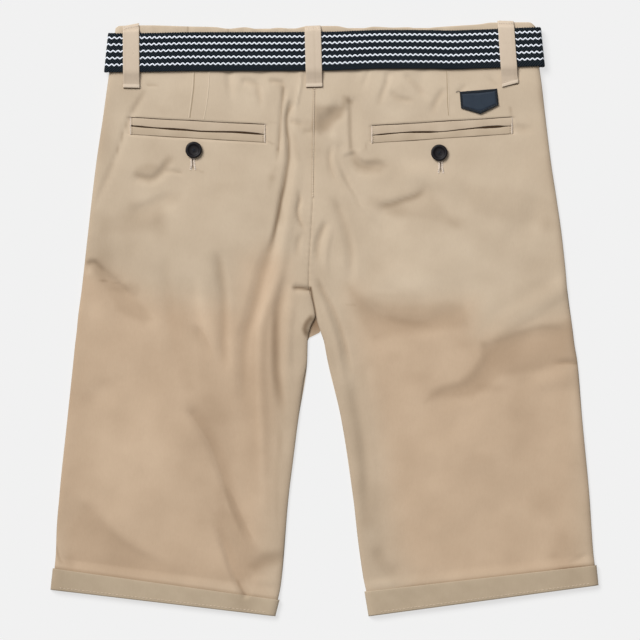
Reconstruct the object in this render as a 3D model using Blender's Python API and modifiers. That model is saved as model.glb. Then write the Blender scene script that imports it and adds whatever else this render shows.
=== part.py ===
"""Bermuda shorts laid flat with the back up and a webbing belt threaded through the loops.

Blender units are metres and +Z is up. The waist is towards +Y, the hems towards -Y, and left and
right are the wearer's, so left is at -X. The front panels lie on the surface at Z = 0, face down,
and the back panels lie on them. The origin is under the middle of the whole garment.
Every size, place and table below is in millimetres. `mesh_object` turns them into metres.
"""

import math
from collections import namedtuple

import bmesh
import bpy
import numpy as np
from mathutils import Vector
from mathutils.bvhtree import BVHTree

MM = 0.001

# ---- Wall thicknesses and clearances -------------------------------------------------------------
SEAM_GAP = 0.3  # between two pieces that are sewn together
CLOTH = 1.2  # cotton twill with its seam allowances, as one wall
BAND = 2.0  # waistband, folded double over its elastic
CUFF = 1.2  # turned-up hem
WELT = 1.0
LOOP = 1.4
STRAP = 2.2  # belt webbing
PATCH = 1.5
PLATE = 1.4  # sheet of the belt buckle

# ---- Heights of the layers at the waist, from the surface up --------------------------------------
STRAP_FRONT_Z = PLATE + SEAM_GAP + STRAP / 2  # the front stretch lies on the loops and the buckle
WAIST_LIFT = STRAP_FRONT_Z + STRAP / 2 + SEAM_GAP  # underside of the front waistband
BAND_FRONT_Z = WAIST_LIFT + BAND / 2
BACK_TOP_RISE = 3.9  # from the top of a front panel to the top of the flat back panel over it
LAYER_RISE = BACK_TOP_RISE - CLOTH / 2  # and to the middle of the back panel's wall
BAND_BACK_Z = WAIST_LIFT + CLOTH + LAYER_RISE
STRAP_BACK_Z = BAND_BACK_Z + BAND / 2 + SEAM_GAP + STRAP / 2
CUFF_LIFT = CUFF + SEAM_GAP  # a front panel lies on the under side of its cuff
CUFF_OUT = 1.6  # from the middle of a panel's wall to the cuff's, 0.4 clear of it
CUFF_BELOW = 0.8  # the cuff's fold lies this far below the end of the panels

# ---- Outline ---------------------------------------------------------------------------------------
# One row for each section across a leg, from the waist seam to the hem. outer is the side seam,
# inner the centre seam down to the crotch and the inseam below it. lift is how far the front panel
# lies above the surface there, and roll how far the inner edge turns down (0 seam, 1 folded edge).
Section = namedtuple("Section", "outer_x outer_y inner_x inner_y lift roll")

BACK_LEFT = [
    Section(-193.0, 225.5, -8.8, 225.5, WAIST_LIFT, 0),  # waist seam, under the belt
    Section(-195.5, 208.5, -9.3, 208.5, 3.6, 0),  # foot of the belt loops
    Section(-199.5, 180.0, -9.8, 180.0, 1.2, 0),  # mouth of the pocket
    Section(-205.0, 143.5, -10.3, 143.5, 0, 0),
    Section(-209.5, 107.5, -10.8, 107.5, 0, 0),
    Section(-213.5, 71.5, -12.8, 71.5, 0, 0),
    Section(-216.5, 44.0, -14.3, 46.0, 0, 0),
    Section(-218.5, 26.5, -14.3, 28.5, 0, 0.3),  # crotch point
    Section(-220.5, 12.0, -10.3, 14.0, 0, 0.5),
    Section(-222.0, 0.0, -8.3, 3.0, 0, 0.7),  # the legs part
    Section(-223.0, -11.0, -12.5, -7.0, 0, 1),
    Section(-224.5, -23.0, -15.0, -18.5, 0, 1),
    Section(-226.0, -38.0, -15.5, -36.5, 0, 1),
    Section(-228.0, -56.5, -19.0, -56.5, 0, 1),
    Section(-231.5, -90.5, -23.5, -90.5, 0, 1),
    Section(-235.0, -126.5, -28.0, -126.5, 0, 1),
    Section(-238.5, -158.0, -32.5, -162.5, 0, 1),
    Section(-241.0, -187.0, -36.0, -203.0, 0, 1),
    Section(-242.0, -214.0, -39.5, -241.0, 0, 1),
    Section(-243.0, -224.5, -42.0, -252.5, CUFF_LIFT, 1),  # top of the cuff
    Section(-244.8, -242.5, -45.5, -266.0, CUFF_LIFT, 1),  # hem
]

BACK_RIGHT = [
    Section(193.0, 228.0, -8.5, 225.5, WAIST_LIFT, 0),
    Section(195.5, 210.0, -9.0, 208.5, 3.6, 0),
    Section(199.0, 180.0, -9.5, 180.0, 1.2, 0),
    Section(203.5, 143.5, -10.0, 143.5, 0, 0),
    Section(209.0, 107.5, -10.5, 107.5, 0, 0),
    Section(214.0, 71.5, -12.5, 71.5, 0, 0),
    Section(217.0, 44.0, -14.0, 46.0, 0, 0),
    Section(218.5, 26.5, -14.0, 28.5, 0, 0.3),
    Section(220.0, 12.0, -10.0, 14.0, 0, 0.5),
    Section(222.0, 0.0, -8.0, 3.0, 0, 0.7),
    Section(223.5, -11.0, -4.0, -10.5, 0, 1),
    Section(225.0, -23.0, -0.5, -20.5, 0, 1),
    Section(227.5, -38.0, 2.5, -36.5, 0, 1),
    Section(229.0, -56.5, 7.5, -55.0, 0, 1),
    Section(232.0, -90.5, 15.0, -90.0, 0, 1),
    Section(235.5, -126.5, 21.5, -126.5, 0, 1),
    Section(238.5, -160.0, 26.0, -162.5, 0, 1),
    Section(240.5, -190.0, 30.0, -199.0, 0, 1),
    Section(242.0, -211.0, 35.0, -233.5, 0, 1),
    Section(243.2, -221.5, 37.5, -245.0, CUFF_LIFT, 1),
    Section(244.8, -238.5, 41.0, -266.0, CUFF_LIFT, 1),
]

# The front panels share the side seams and hems, and have a straight centre seam of their own,
# which ends lower down than the back's. It is a table of (y, x), from the crotch to the waist.
FRONT_SECTIONS = (0, 1, 2, 3, 5, 7, 9, 10, 11, 12, 14, 16, 18, 19, 20)
FRONT_CROTCH_SECTION = 10
FRONT_SEAM = [(-10.6, -3.1), (225.5, -8.5)]

# ---- Creases ---------------------------------------------------------------------------------------
# The largest folds of the back panels. height is above the cloth round them, or below if negative.
# line runs down the middle of the fold and reach is its half width.
Fold = namedtuple("Fold", "name height reach line")

FOLDS = [
    Fold("left seat puff", 2.2, 75, [(-120, 110), (-125, 60), (-130, 10)]),
    Fold("left leg puff", 2.0, 75, [(-135, -60), (-140, -130), (-145, -180)]),
    Fold("right seat puff", 2.4, 75, [(100, 115), (110, 60), (120, 20)]),
    Fold("right leg puff", 2.0, 75, [(130, -70), (135, -130), (140, -180)]),
    Fold("long fold down the left inseam", 4.2, 17,
         [(-20, 190), (-28, 105), (-40, 50), (-53, 5), (-60, -45), (-62, -150)]),
    Fold("its outer trough", -2.4, 14,
         [(-33, 200), (-34, 150), (-39, 113), (-50, 68), (-64, 20), (-77, -25)]),
    Fold("its inner trough", -2.2, 13, [(-30, 60), (-38, 20), (-41, -20), (-40, -85)]),
    Fold("right fold beside the seat seam", 2.8, 15, [(15, 195), (18, 150), (26, 118), (42, 78)]),
    Fold("trough under the belt at the right", -2.0, 11, [(23, 200), (24, 160), (35, 140), (56, 140)]),
    Fold("hollow beside the centre loop", -1.6, 16, [(2, 188), (12, 180)]),
    Fold("trough beside the crotch", -1.8, 11, [(2, 84), (-3, 60), (-4, 42)]),
    Fold("right inseam trough", -1.8, 10, [(-3, 32), (9, 5), (20, -28), (29, -70)]),
    Fold("right seat fold", 2.4, 20, [(40, 122), (75, 125), (108, 118), (128, 95)]),
    Fold("trough under the right seat", -2.2, 14, [(46, 100), (70, 107), (97, 115)]),
    Fold("right thigh ridge", 2.4, 20, [(212, 5), (165, -14), (135, -30)]),
    Fold("right thigh trough", -2.2, 18, [(190, -25), (145, -45), (118, -66), (90, -74)]),
    Fold("left thigh trough", -1.6, 14, [(-98, 58), (-90, 30), (-90, -40)]),
    Fold("left side dent", -1.4, 14, [(-205, 40), (-170, 26)]),
    Fold("left knee trough", -2.0, 13, [(-123, -78), (-98, -120), (-82, -160), (-70, -198)]),
    Fold("trough into the left cuff", -2.0, 12, [(-92, -190), (-80, -225), (-72, -245)]),
    Fold("left hem dent", -1.6, 16, [(-60, -212), (-42, -218)]),
    Fold("right hem dent", -1.6, 16, [(48, -212), (64, -220)]),
    Fold("left pocket dent", -1.4, 14, [(-170, 128), (-140, 138)]),
]

# The elastic draws the back waistband into troughs, which run on into the panels below it.
Gather = namedtuple("Gather", "x depth reach foot_y")

GATHERS = [
    Gather(-86, 0.9, 12, 190),
    Gather(-57, 1.2, 12, 178),
    Gather(-30, 1.0, 10, 200),
    Gather(28, 1.2, 12, 196),
    Gather(62, 0.9, 13, 190),
    Gather(87, 1.1, 12, 182),
]
FOOT_FADE = 30  # over this length a gather flattens out above its foot
FOLD_END = 0.35  # share of its height that a fold still has at its two ends

# ---- Waistband -------------------------------------------------------------------------------------
# Upper edge of the back waistband, which the gathers pull into shallow scallops.
BAND_TOP = [
    (-189.0, 260.0), (-184.5, 263.5), (-157.5, 264.0), (-121.5, 263.0), (-99.0, 262.5), (-86.0, 261.0),
    (-72.0, 262.3), (-57.0, 260.2), (-41.0, 261.8), (-29.0, 261.0), (-13.5, 263.5), (9.0, 263.5),
    (28.0, 260.5), (45.0, 262.8), (62.0, 262.0), (75.0, 262.3), (87.0, 260.5), (97.0, 262.0),
    (117.0, 263.5), (139.5, 265.0), (150.0, 266.5), (184.0, 266.8), (190.5, 262.0),
]
BAND_SIDE = {"left": ((-192.8, 225.8), (-188.0, 260.0)), "right": ((192.6, 228.3), (189.5, 262.0))}
FRONT_MIDDLE_X, FRONT_BAND_TOP = -8.7, 261.5

# ---- Belt ------------------------------------------------------------------------------------------
BELT_WIDTH = 35.0
BELT_LINE = [(-197, 239.6), (0, 240.2), (30, 241.8), (68, 242.5), (126, 242.5), (197, 244.0)]
BELT_HALF_LENGTH = 192.5  # from the middle to where the strap starts to turn round the side
BELT_TURN = 3.0  # sideways reach of that turn
BELT_FLARE = 1.8  # the lower edge of the strap stands out this much more than its middle
BUCKLE_X, BUCKLE_LENGTH = -9.0, 42.0
BUCKLE_LIP = 1.2
STRAP_END_GAP = 1.0  # from the middle of the buckle to each end of the strap

# ---- Belt loops: where the middle of each end lies ---------------------------------------------------
LoopPlace = namedtuple("LoopPlace", "name top_x top_y foot_x foot_y")

# How a loop steps over the belt, from its top down: beyond is how far outside the belt's upper edge
# (side 1) or lower edge (side -1) the point lies, and rise is added to the named level.
LoopStep = namedtuple("LoopStep", "side beyond level rise")

LOOP_WIDTH = 14.7
BACK_LOOP_STEPS = [
    LoopStep(1, 2.6, "band", 0.3),
    LoopStep(1, 1.4, "belt", -0.1),
    LoopStep(1, -2.0, "belt", 0.0),
    LoopStep(0, 0.0, "belt", 0.1),
    LoopStep(-1, -2.0, "belt", 0.0),
    LoopStep(-1, 1.4, "belt", -0.1),
    LoopStep(-1, 3.8, "panel", 0.5),
    LoopStep(-1, 6.5, "panel", 0.0),
]
FRONT_LOOP_STEPS = [
    LoopStep(1, 1.7, "band", -0.1),
    LoopStep(1, 1.2, "belt", 0.5),
    LoopStep(1, 0.4, "belt", 0.0),
    LoopStep(-1, 0.4, "belt", 0.0),
    LoopStep(-1, 1.4, "belt", 0.5),
    LoopStep(-1, 4.0, "panel", -0.3),
    LoopStep(-1, 7.0, "panel", 0.0),
]
FRONT_FOOT_LIFT = 3.4  # underside of the front panel where a front loop ends
BACK_FOOT_DROP = 1.2  # a back loop's foot lies at most this far below its top
FOOT_SEAT = (0, 4, 8)  # above a back loop's foot, where the cloth under it is looked at
BACK_LOOPS = [
    LoopPlace("loop_back_left", -174.0, 263.6, -173.6, 208.4),
    LoopPlace("loop_back_centre", -10.6, 262.6, -9.2, 209.2),
    LoopPlace("loop_back_right", 162.8, 267.0, 166.8, 211.0),
]
FRONT_LOOPS = [
    LoopPlace("loop_front_left", -95.0, 261.0, -95.0, 208.0),
    LoopPlace("loop_front_right", 120.0, 263.2, 120.0, 209.0),
]

# ---- Pockets, buttons and patch on the back ----------------------------------------------------------
# The slit between the two welts of a pocket, from its side end to its centre end.
POCKET_SLITS = {"left": ((-174.5, 173.8), (-53.8, 166.2)), "right": ((168.6, 173.6), (42.6, 165.4))}
WELT_HEIGHT = 7.2
WELT_STEPS = 12
SLIT_GAP = 0.9
WELT_REACH, PATCH_REACH = 3.5, 3.0  # how far round a point the highest cloth is looked for
BUTTON_PLACES = {"left": (-117.6, 152.0), "right": (103.2, 149.5)}
BUTTON_RADIUS, BUTTON_THICK = 7.5, 3.0
BUTTON_HOLE_RADIUS, BUTTON_HOLE_PITCH = 0.95, 3.2
BUTTON_SEAT_REACHES = (2.5, 5.3)  # rings round its middle where the cloth under it is looked at
# From the dished middle over the rim to the underside: share of the radius, and height.
BUTTON_PROFILE = [
    (0, 2.1), (0.58, 2.1), (0.68, 2.9), (0.78, 3.0), (0.9, 2.8), (1, 1.8), (0.95, 0.75), (0.8, 0), (0, 0),
]
PATCH_MIDDLE, PATCH_WIDTH = (139.2, 195.0), 33.8
PATCH_SIDE, PATCH_POINT = 15.0, 21.5  # height at the sides and at the point
PATCH_TURN = math.radians(4.7)

# ---- Fineness of the meshes --------------------------------------------------------------------------
ROW_PITCH = 18.0
BACK_COLUMNS, FRONT_COLUMNS, BAND_COLUMNS = 20, 6, 44
INNER_CROWDING = 0.35  # how much closer the columns are towards the inner edge
BELT_FRONT_POINTS, BELT_BACK_POINTS = 12, 25
BELT_TURN_STEP = 18  # degrees

# A back piece's edge turns down to the front piece under it: shares of the turn's width, from the
# edge inwards, and of its height, from its foot up.
TURN_WIDTH = 5.0
Turn = namedtuple("Turn", "across up")
EDGE_TURN = [Turn(0, 0), Turn(0, 0.35), Turn(0.22, 0.74), Turn(0.58, 0.94), Turn(1, 1)]


# ---- Numbers -----------------------------------------------------------------------------------------
def between(a, b, share):
    return a + (b - a) * share


def smooth(share):
    """0 to 1 along an S-shaped curve."""
    share = min(1.0, max(0.0, share))
    return share * share * (3 - 2 * share)


def along(table, x):
    """y at x on the line through a table of (x, y), level beyond its ends."""
    return float(np.interp(x, [p[0] for p in table], [p[1] for p in table]))


def distance_to_line(x, y, line):
    """How far a point is from a line of points, and how far along the line its foot is, from 0 to 1."""
    best, at, walked = math.inf, 0.0, 0.0
    lengths = [math.dist(a, b) for a, b in zip(line, line[1:])]
    for (ax, ay), (bx, by), length in zip(line, line[1:], lengths):
        share = ((x - ax) * (bx - ax) + (y - ay) * (by - ay)) / length**2
        share = min(1.0, max(0.0, share))
        gap = math.hypot(x - between(ax, bx, share), y - between(ay, by, share))
        if gap < best:
            best, at = gap, walked + share * length
        walked += length
    return best, at / walked


def hump(distance, reach):
    """1 at distance 0, falling smoothly to 0 at reach."""
    return 0.5 + 0.5 * math.cos(math.pi * min(1.0, distance / reach))


def crease_height(x, y):
    """What the folds and gathers add to the height of the back panels."""
    height = 0.0
    for fold in FOLDS:
        distance, at = distance_to_line(x, y, fold.line)
        fade = FOLD_END + (1 - FOLD_END) * math.sin(math.pi * at)
        height += fold.height * fade * hump(distance, fold.reach)
    return height + gather_height(x, y)


def gather_height(x, y):
    height = 0.0
    for gather in GATHERS:
        fade = smooth((y - gather.foot_y) / FOOT_FADE)
        height -= gather.depth * fade * hump(abs(x - gather.x), gather.reach)
    return height


# ---- Grids of points ---------------------------------------------------------------------------------
def with_rows_between(sections, pitch):
    """The sections, with more worked out between them so that none are further apart than pitch."""
    rows = []
    for a, b in zip(sections, sections[1:]):
        steps = max(1, math.ceil(max(abs(a.outer_y - b.outer_y), abs(a.inner_y - b.inner_y)) / pitch))
        rows += [Section(*(between(p, q, k / steps) for p, q in zip(a, b))) for k in range(steps)]
    return rows + [sections[-1]]


def inner_weighted(columns):
    """Shares from 0 to 1 that lie closer together towards 1, where the seat's folds are."""
    return [k / columns * (1 + INNER_CROWDING * (1 - k / columns)) for k in range(1, columns)]


def back_row(section, out=0.0):
    """Points across a back panel, from the side seam to the inner edge, on the middle of its wall.

    With out, they lie that far outside it instead, as a cuff does, and reach down past the front.
    """
    outer, inner = Vector(section[0:2]), Vector(section[2:4])
    width = (inner - outer).length
    across = (inner - outer) / width
    floor = section.lift + CLOTH
    low = floor + SEAM_GAP
    turn_width = TURN_WIDTH + out

    def point(position, up, roll=1):
        place = outer + across * position
        level = max(LAYER_RISE + crease_height(place.x, place.y), SEAM_GAP + CLOTH / 2)
        top = floor + level + out
        foot = between(top, low, roll)
        return (place.x, place.y, between(foot, top, up))

    start, end = CLOTH / 2 - out, width - CLOTH / 2 * section.roll + out
    even = [k / (len(EDGE_TURN) - 1) for k in range(len(EDGE_TURN))]
    inner_turn = [t._replace(across=between(e, t.across, section.roll)) for e, t in zip(even, EDGE_TURN)]
    row = [point(start + turn_width * t.across, t.up) for t in EDGE_TURN]
    row += [point(between(start + turn_width, end - turn_width, s), 1) for s in inner_weighted(BACK_COLUMNS)]
    row += [point(end - turn_width * t.across, t.up, section.roll) for t in reversed(inner_turn)]
    if out:
        row = [(*row[0][:2], CUFF + SEAM_GAP), *row, (*row[-1][:2], CUFF + SEAM_GAP)]
    return row


def front_row(section, out=0.0):
    """Points across a front panel, which lies flat, on the middle of its wall. out widens it."""
    outer, inner = Vector(section[0:2]), Vector(section[2:4])
    spare = (inner - outer).normalized() * out
    height = section.lift + CLOTH / 2
    shares = [k / FRONT_COLUMNS for k in range(FRONT_COLUMNS + 1)]
    return [(*(outer - spare).lerp(inner + spare, share), height) for share in shares]


def front_sections(sections, side):
    """The front panel's sections: the back's side seam and hem, with the front's own centre seam."""
    gap = SEAM_GAP if side == "left" else 0
    chosen = []
    for index in FRONT_SECTIONS:
        section = sections[index]
        if index <= FRONT_CROTCH_SECTION:
            y = FRONT_SEAM[0][0] if index == FRONT_CROTCH_SECTION else section.inner_y
            section = section._replace(inner_x=along(FRONT_SEAM, y) - gap, inner_y=y)
        chosen.append(section)
    return chosen


def beyond(section, by):
    """The section moved down the leg, square to itself."""
    outer, inner = Vector(section[0:2]), Vector(section[2:4])
    down = (inner - outer).normalized().orthogonal()
    down = down * by if down.y < 0 else -down * by
    return section._replace(
        outer_x=outer.x + down.x, outer_y=outer.y + down.y, inner_x=inner.x + down.x, inner_y=inner.y + down.y
    )


# ---- Blender objects ---------------------------------------------------------------------------------
def new_collection(name):
    made = bpy.data.collections.new(name)
    bpy.context.scene.collection.children.link(made)
    return made


def new_material(name, colour, roughness, metallic=0.0):
    made = bpy.data.materials.new(name)
    made.use_nodes = True
    shader = made.node_tree.nodes["Principled BSDF"]
    shader.inputs["Base Color"].default_value = (*colour, 1.0)
    shader.inputs["Roughness"].default_value = roughness
    shader.inputs["Metallic"].default_value = metallic
    return made


def mesh_object(name, mesh, material=None, collection=None):
    """An object made from a bmesh in millimetres."""
    bmesh.ops.scale(mesh, vec=(MM, MM, MM), verts=mesh.verts)
    data = bpy.data.meshes.new(name)
    mesh.to_mesh(data)
    mesh.free()
    made = bpy.data.objects.new(name, data)
    (collection or parts).objects.link(made)
    if material:
        data.materials.append(material)
        made.parent = garment
    return made


def cloth_wall(name, points, thickness, material):
    """A wall on both sides of a grid of points: points[row][column] is (x, y, z)."""
    points = np.asarray(points, float)
    rows, columns = points.shape[:2]
    mesh = bmesh.new()
    bmesh.ops.create_grid(mesh, x_segments=columns - 1, y_segments=rows - 1, size=1.0)
    for vertex in mesh.verts:
        column = round((vertex.co.x + 1) / 2 * (columns - 1))
        row = round((vertex.co.y + 1) / 2 * (rows - 1))
        vertex.co = points[row, column]
    made = mesh_object(name, mesh, material)
    made.data.shade_smooth()
    solid = made.modifiers.new("thickness", "SOLIDIFY")
    solid.thickness = thickness * MM
    solid.offset = 0.0
    return made


def surface_under(*made):
    """The highest point of the objects at (x, y), as a function, in millimetres."""
    graph = bpy.context.evaluated_depsgraph_get()
    trees = [BVHTree.FromObject(each, graph) for each in made]

    def height(x, y):
        found = [tree.ray_cast(Vector((x * MM, y * MM, 1.0)), Vector((0, 0, -1)))[0] for tree in trees]
        return max((hit.z / MM for hit in found if hit), default=0.0)

    return height


# ---- The pieces --------------------------------------------------------------------------------------
def make_leg(side, sections):
    """A leg's back and front panels, and the cuff turned up round them as a back and a front half."""
    back = [back_row(s) for s in with_rows_between(sections, ROW_PITCH)]
    front = [front_row(s) for s in front_sections(sections, side)]
    back_panel = cloth_wall(f"back_{side}", back, CLOTH, twill)
    cloth_wall(f"front_{side}", front, CLOTH, twill)

    cuff = with_rows_between([sections[-2], beyond(sections[-1], CUFF_BELOW)], ROW_PITCH)
    cloth_wall(f"cuff_back_{side}", [back_row(s, CUFF_OUT) for s in cuff], CUFF, twill)
    under = [front_row(s._replace(lift=0), CUFF_OUT) for s in cuff]
    cloth_wall(f"cuff_front_{side}", under, CUFF, twill)
    return back_panel


def make_waistband():
    """The back waistband, gathered on its elastic, and the two flat halves of the front one."""
    left, right = ([Vector(place) for place in BAND_SIDE[side]] for side in ("left", "right"))
    low = WAIST_LIFT + BAND + SEAM_GAP
    rows = []
    for share in (0.0, 0.5, 1.0):
        first = left[0].lerp(left[1], share).x + BAND / 2
        last = right[0].lerp(right[1], share).x - BAND / 2

        def point(x, up):
            seam_y = between(left[0].y, right[0].y, (x - first) / (last - first))
            y = between(seam_y, along(BAND_TOP, x), share)
            return (x, y, between(low, BAND_BACK_Z + gather_height(x, y), up))

        row = [point(first + TURN_WIDTH * t.across, t.up) for t in EDGE_TURN]
        row += [
            point(between(first + TURN_WIDTH, last - TURN_WIDTH, k / BAND_COLUMNS), 1)
            for k in range(1, BAND_COLUMNS)
        ]
        row += [point(last - TURN_WIDTH * t.across, t.up) for t in reversed(EDGE_TURN)]
        rows.append(row)
    cloth_wall("waistband_back", rows, BAND, twill)

    shares = [k / FRONT_COLUMNS for k in range(FRONT_COLUMNS + 1)]
    ends = {"left": (left, FRONT_MIDDLE_X - SEAM_GAP), "right": (right, FRONT_MIDDLE_X)}
    for side, ((foot, top), middle_x) in ends.items():
        middle = (Vector((middle_x, foot.y)), Vector((middle_x, FRONT_BAND_TOP)))
        rows = []
        for outer, inner in zip((foot, top), middle):
            rows.append([(*outer.lerp(inner, share), BAND_FRONT_Z) for share in shares])
        cloth_wall(f"waistband_front_{side}", rows, BAND, twill)


def front_belt_y(x):
    """Middle of the front stretch of the belt, which runs straight across."""
    return along([BELT_LINE[0], BELT_LINE[-1]], x)


def make_belt():
    """The strap: one length of webbing round the waistband, with both ends in the buckle in front."""
    rise = (STRAP_BACK_Z - STRAP_FRONT_Z) / 2
    middle_z = (STRAP_BACK_Z + STRAP_FRONT_Z) / 2
    turn = [math.radians(a) for a in range(-90, 91, BELT_TURN_STEP)]
    front = np.linspace(BUCKLE_X + STRAP_END_GAP, BELT_HALF_LENGTH, BELT_FRONT_POINTS)[:-1]
    front_left = np.linspace(-BELT_HALF_LENGTH, BUCKLE_X - STRAP_END_GAP, BELT_FRONT_POINTS)[1:]
    back = np.linspace(BELT_HALF_LENGTH, -BELT_HALF_LENGTH, BELT_BACK_POINTS)[1:-1]
    path = [(x, front_belt_y(x), STRAP_FRONT_Z) for x in front]
    for a in turn:
        x = BELT_HALF_LENGTH + BELT_TURN * math.cos(a)
        path.append((x, along(BELT_LINE, x), middle_z + rise * math.sin(a)))
    path += [(x, along(BELT_LINE, x), STRAP_BACK_Z) for x in back]
    for a in turn:
        x = -BELT_HALF_LENGTH - BELT_TURN * math.cos(a)
        path.append((x, along(BELT_LINE, x), middle_z - rise * math.sin(a)))
    path += [(x, front_belt_y(x), STRAP_FRONT_Z) for x in front_left]
    rows = []
    for x, y, z in path:
        flare = BELT_FLARE * x / BELT_HALF_LENGTH
        rows.append([(x - flare * s, y + s * BELT_WIDTH / 2, z) for s in (-1, 0, 1)])
    cloth_wall("belt", rows, STRAP, webbing)


def make_buckle():
    """A shallow channel of sheet metal under the strap's ends, with a lip along each edge."""
    inside = BELT_WIDTH / 2 + SEAM_GAP
    outside = inside + BUCKLE_LIP
    lip_top = STRAP_FRONT_Z + STRAP / 2 - SEAM_GAP
    profile = [
        (-outside, 0), (outside, 0), (outside, lip_top), (inside, lip_top),
        (inside, PLATE), (-inside, PLATE), (-inside, lip_top), (-outside, lip_top),
    ]
    mesh = bmesh.new()
    section = mesh.faces.new([mesh.verts.new((-BUCKLE_LENGTH / 2, y, z)) for y, z in profile])
    grown = bmesh.ops.extrude_face_region(mesh, geom=[section])["geom"]
    moved = [item for item in grown if isinstance(item, bmesh.types.BMVert)]
    bmesh.ops.translate(mesh, verts=moved, vec=(BUCKLE_LENGTH, 0, 0))
    bmesh.ops.recalc_face_normals(mesh, faces=mesh.faces)
    made = mesh_object("belt_buckle", mesh, metal)
    made.location = (BUCKLE_X * MM, front_belt_y(BUCKLE_X) * MM, 0)
    made.rotation_euler.z = math.atan(front_belt_y(1) - front_belt_y(0))


def make_loop(place, belt_y, steps, levels):
    """A strip from the top of the waistband, across the belt and down to its foot on the panel."""
    heights = [(place.top_y, levels["band"])]
    for step in steps:
        y = belt_y + step.side * (BELT_WIDTH / 2 + step.beyond)
        heights.append((y, levels[step.level] + step.rise))
    heights.append((place.foot_y, levels["panel"]))
    rows = []
    for y, z in heights:
        share = (place.top_y - y) / (place.top_y - place.foot_y)
        x = between(place.top_x, place.foot_x, share)
        rows.append([(x + LOOP_WIDTH * s, y, z) for s in (-0.5, 0.5)])
    cloth_wall(place.name, rows, LOOP, twill)


def make_back_loop(place, panel_height):
    """A loop that leaves the top of the waistband, crosses the belt and is sewn down below it."""
    xs = [place.foot_x + side * LOOP_WIDTH / 2 for side in (-1, 0, 1)]
    under = max(panel_height(x, place.foot_y + dy) for x in xs for dy in FOOT_SEAT)
    on_top = SEAM_GAP + LOOP / 2
    band = BAND_BACK_Z + BAND / 2 + on_top
    levels = {
        "band": band,
        "belt": STRAP_BACK_Z + STRAP / 2 + on_top,
        "panel": max(under + on_top, band - BACK_FOOT_DROP),
    }
    make_loop(place, along(BELT_LINE, place.top_x), BACK_LOOP_STEPS, levels)


def make_front_loop(place):
    """The same under the front: it is the lowest layer, and rises beside the belt to the waistband."""
    below = SEAM_GAP + LOOP / 2
    levels = {"band": WAIST_LIFT - below, "belt": LOOP / 2, "panel": FRONT_FOOT_LIFT - below}
    make_loop(place, front_belt_y(place.top_x), FRONT_LOOP_STEPS, levels)


def make_welts(side, panel_height):
    """The two welts of a back pocket, with the slit between them."""
    side_end, centre_end = (Vector(p) for p in POCKET_SLITS[side])
    up = (centre_end - side_end).normalized().orthogonal()
    up = up if up.y > 0 else -up
    for name, low, high in (("upper", SLIT_GAP / 2, WELT_HEIGHT), ("lower", -WELT_HEIGHT, -SLIT_GAP / 2)):
        rows = []
        for offset in (low, high):
            places = [side_end.lerp(centre_end, k / WELT_STEPS) + up * offset for k in range(WELT_STEPS + 1)]
            tops = [highest_near(panel_height, place, WELT_REACH) for place in places]
            rows.append([(*place, top + SEAM_GAP + WELT / 2) for place, top in zip(places, tops)])
        cloth_wall(f"pocket_{side}_{name}_welt", rows, WELT, twill)


def highest_near(height, place, reach):
    steps = (-reach, 0, reach)
    return max(height(place.x + dx, place.y + dy) for dx in steps for dy in steps)


def make_button(side, panel_height):
    """A four-hole button with a raised rim, over the buttonhole below the pocket."""
    mesh = bmesh.new()
    points = [mesh.verts.new((share * BUTTON_RADIUS, 0, z)) for share, z in BUTTON_PROFILE]
    for a, b in zip(points, points[1:]):
        mesh.edges.new((a, b))
    made = mesh_object(f"button_{side}", mesh, horn)
    turned = made.modifiers.new("turned", "SCREW")
    turned.steps = turned.render_steps = 24
    turned.use_merge_vertices = True
    turned.merge_threshold = 0.00001

    holes = bmesh.new()
    for corner in range(4):
        cut = bmesh.ops.create_cone(
            holes, cap_ends=True, segments=10, depth=3 * BUTTON_THICK,
            radius1=BUTTON_HOLE_RADIUS, radius2=BUTTON_HOLE_RADIUS,
        )
        angle = math.radians(45 + 90 * corner)
        out = BUTTON_HOLE_PITCH / math.sqrt(2)
        middle = (out * math.cos(angle), out * math.sin(angle), BUTTON_THICK / 2)
        bmesh.ops.translate(holes, verts=cut["verts"], vec=middle)
    cutter = mesh_object(f"button_{side}_holes", holes, collection=cutters)
    cutter.hide_render = True
    cutter.display_type = "WIRE"
    cutter.parent = made
    drilled = made.modifiers.new("holes", "BOOLEAN")
    drilled.object = cutter

    place = Vector(BUTTON_PLACES[side])
    seat = max(highest_near(panel_height, place, reach) for reach in BUTTON_SEAT_REACHES) + SEAM_GAP
    made.location = (place.x * MM, place.y * MM, seat * MM)


def make_patch(panel_height):
    """A leather patch with a pointed foot, on the right back panel above the pocket."""
    middle = Vector(PATCH_MIDDLE)
    along_top = Vector((math.cos(PATCH_TURN), math.sin(PATCH_TURN)))
    up = Vector((-along_top.y, along_top.x))
    rows = []
    for share in (0, 0.5, 1):
        places = []
        for across in (-1, -0.5, 0, 0.5, 1):
            height = between(PATCH_POINT, PATCH_SIDE, abs(across))
            v = PATCH_POINT / 2 - height * share
            places.append(middle + along_top * (across * PATCH_WIDTH / 2) + up * v)
        top = max(highest_near(panel_height, place, PATCH_REACH) for place in places)
        rows.append([(*place, top + SEAM_GAP + PATCH / 2) for place in places])
    cloth_wall("patch", rows, PATCH, leather)


def remove_everything():
    for made in list(bpy.data.objects):
        bpy.data.objects.remove(made)


remove_everything()
parts = new_collection("bermuda_shorts")
cutters = new_collection("cutters")
garment = bpy.data.objects.new("shorts", None)
parts.objects.link(garment)
twill = new_material("cotton_twill", (0.53, 0.42, 0.30), 0.9)
webbing = new_material("belt_webbing", (0.016, 0.022, 0.030), 0.85)
leather = new_material("patch_leather", (0.045, 0.065, 0.095), 0.55)
horn = new_material("button_plastic", (0.014, 0.011, 0.011), 0.35)
metal = new_material("buckle_metal", (0.55, 0.55, 0.56), 0.35, 1.0)

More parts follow.
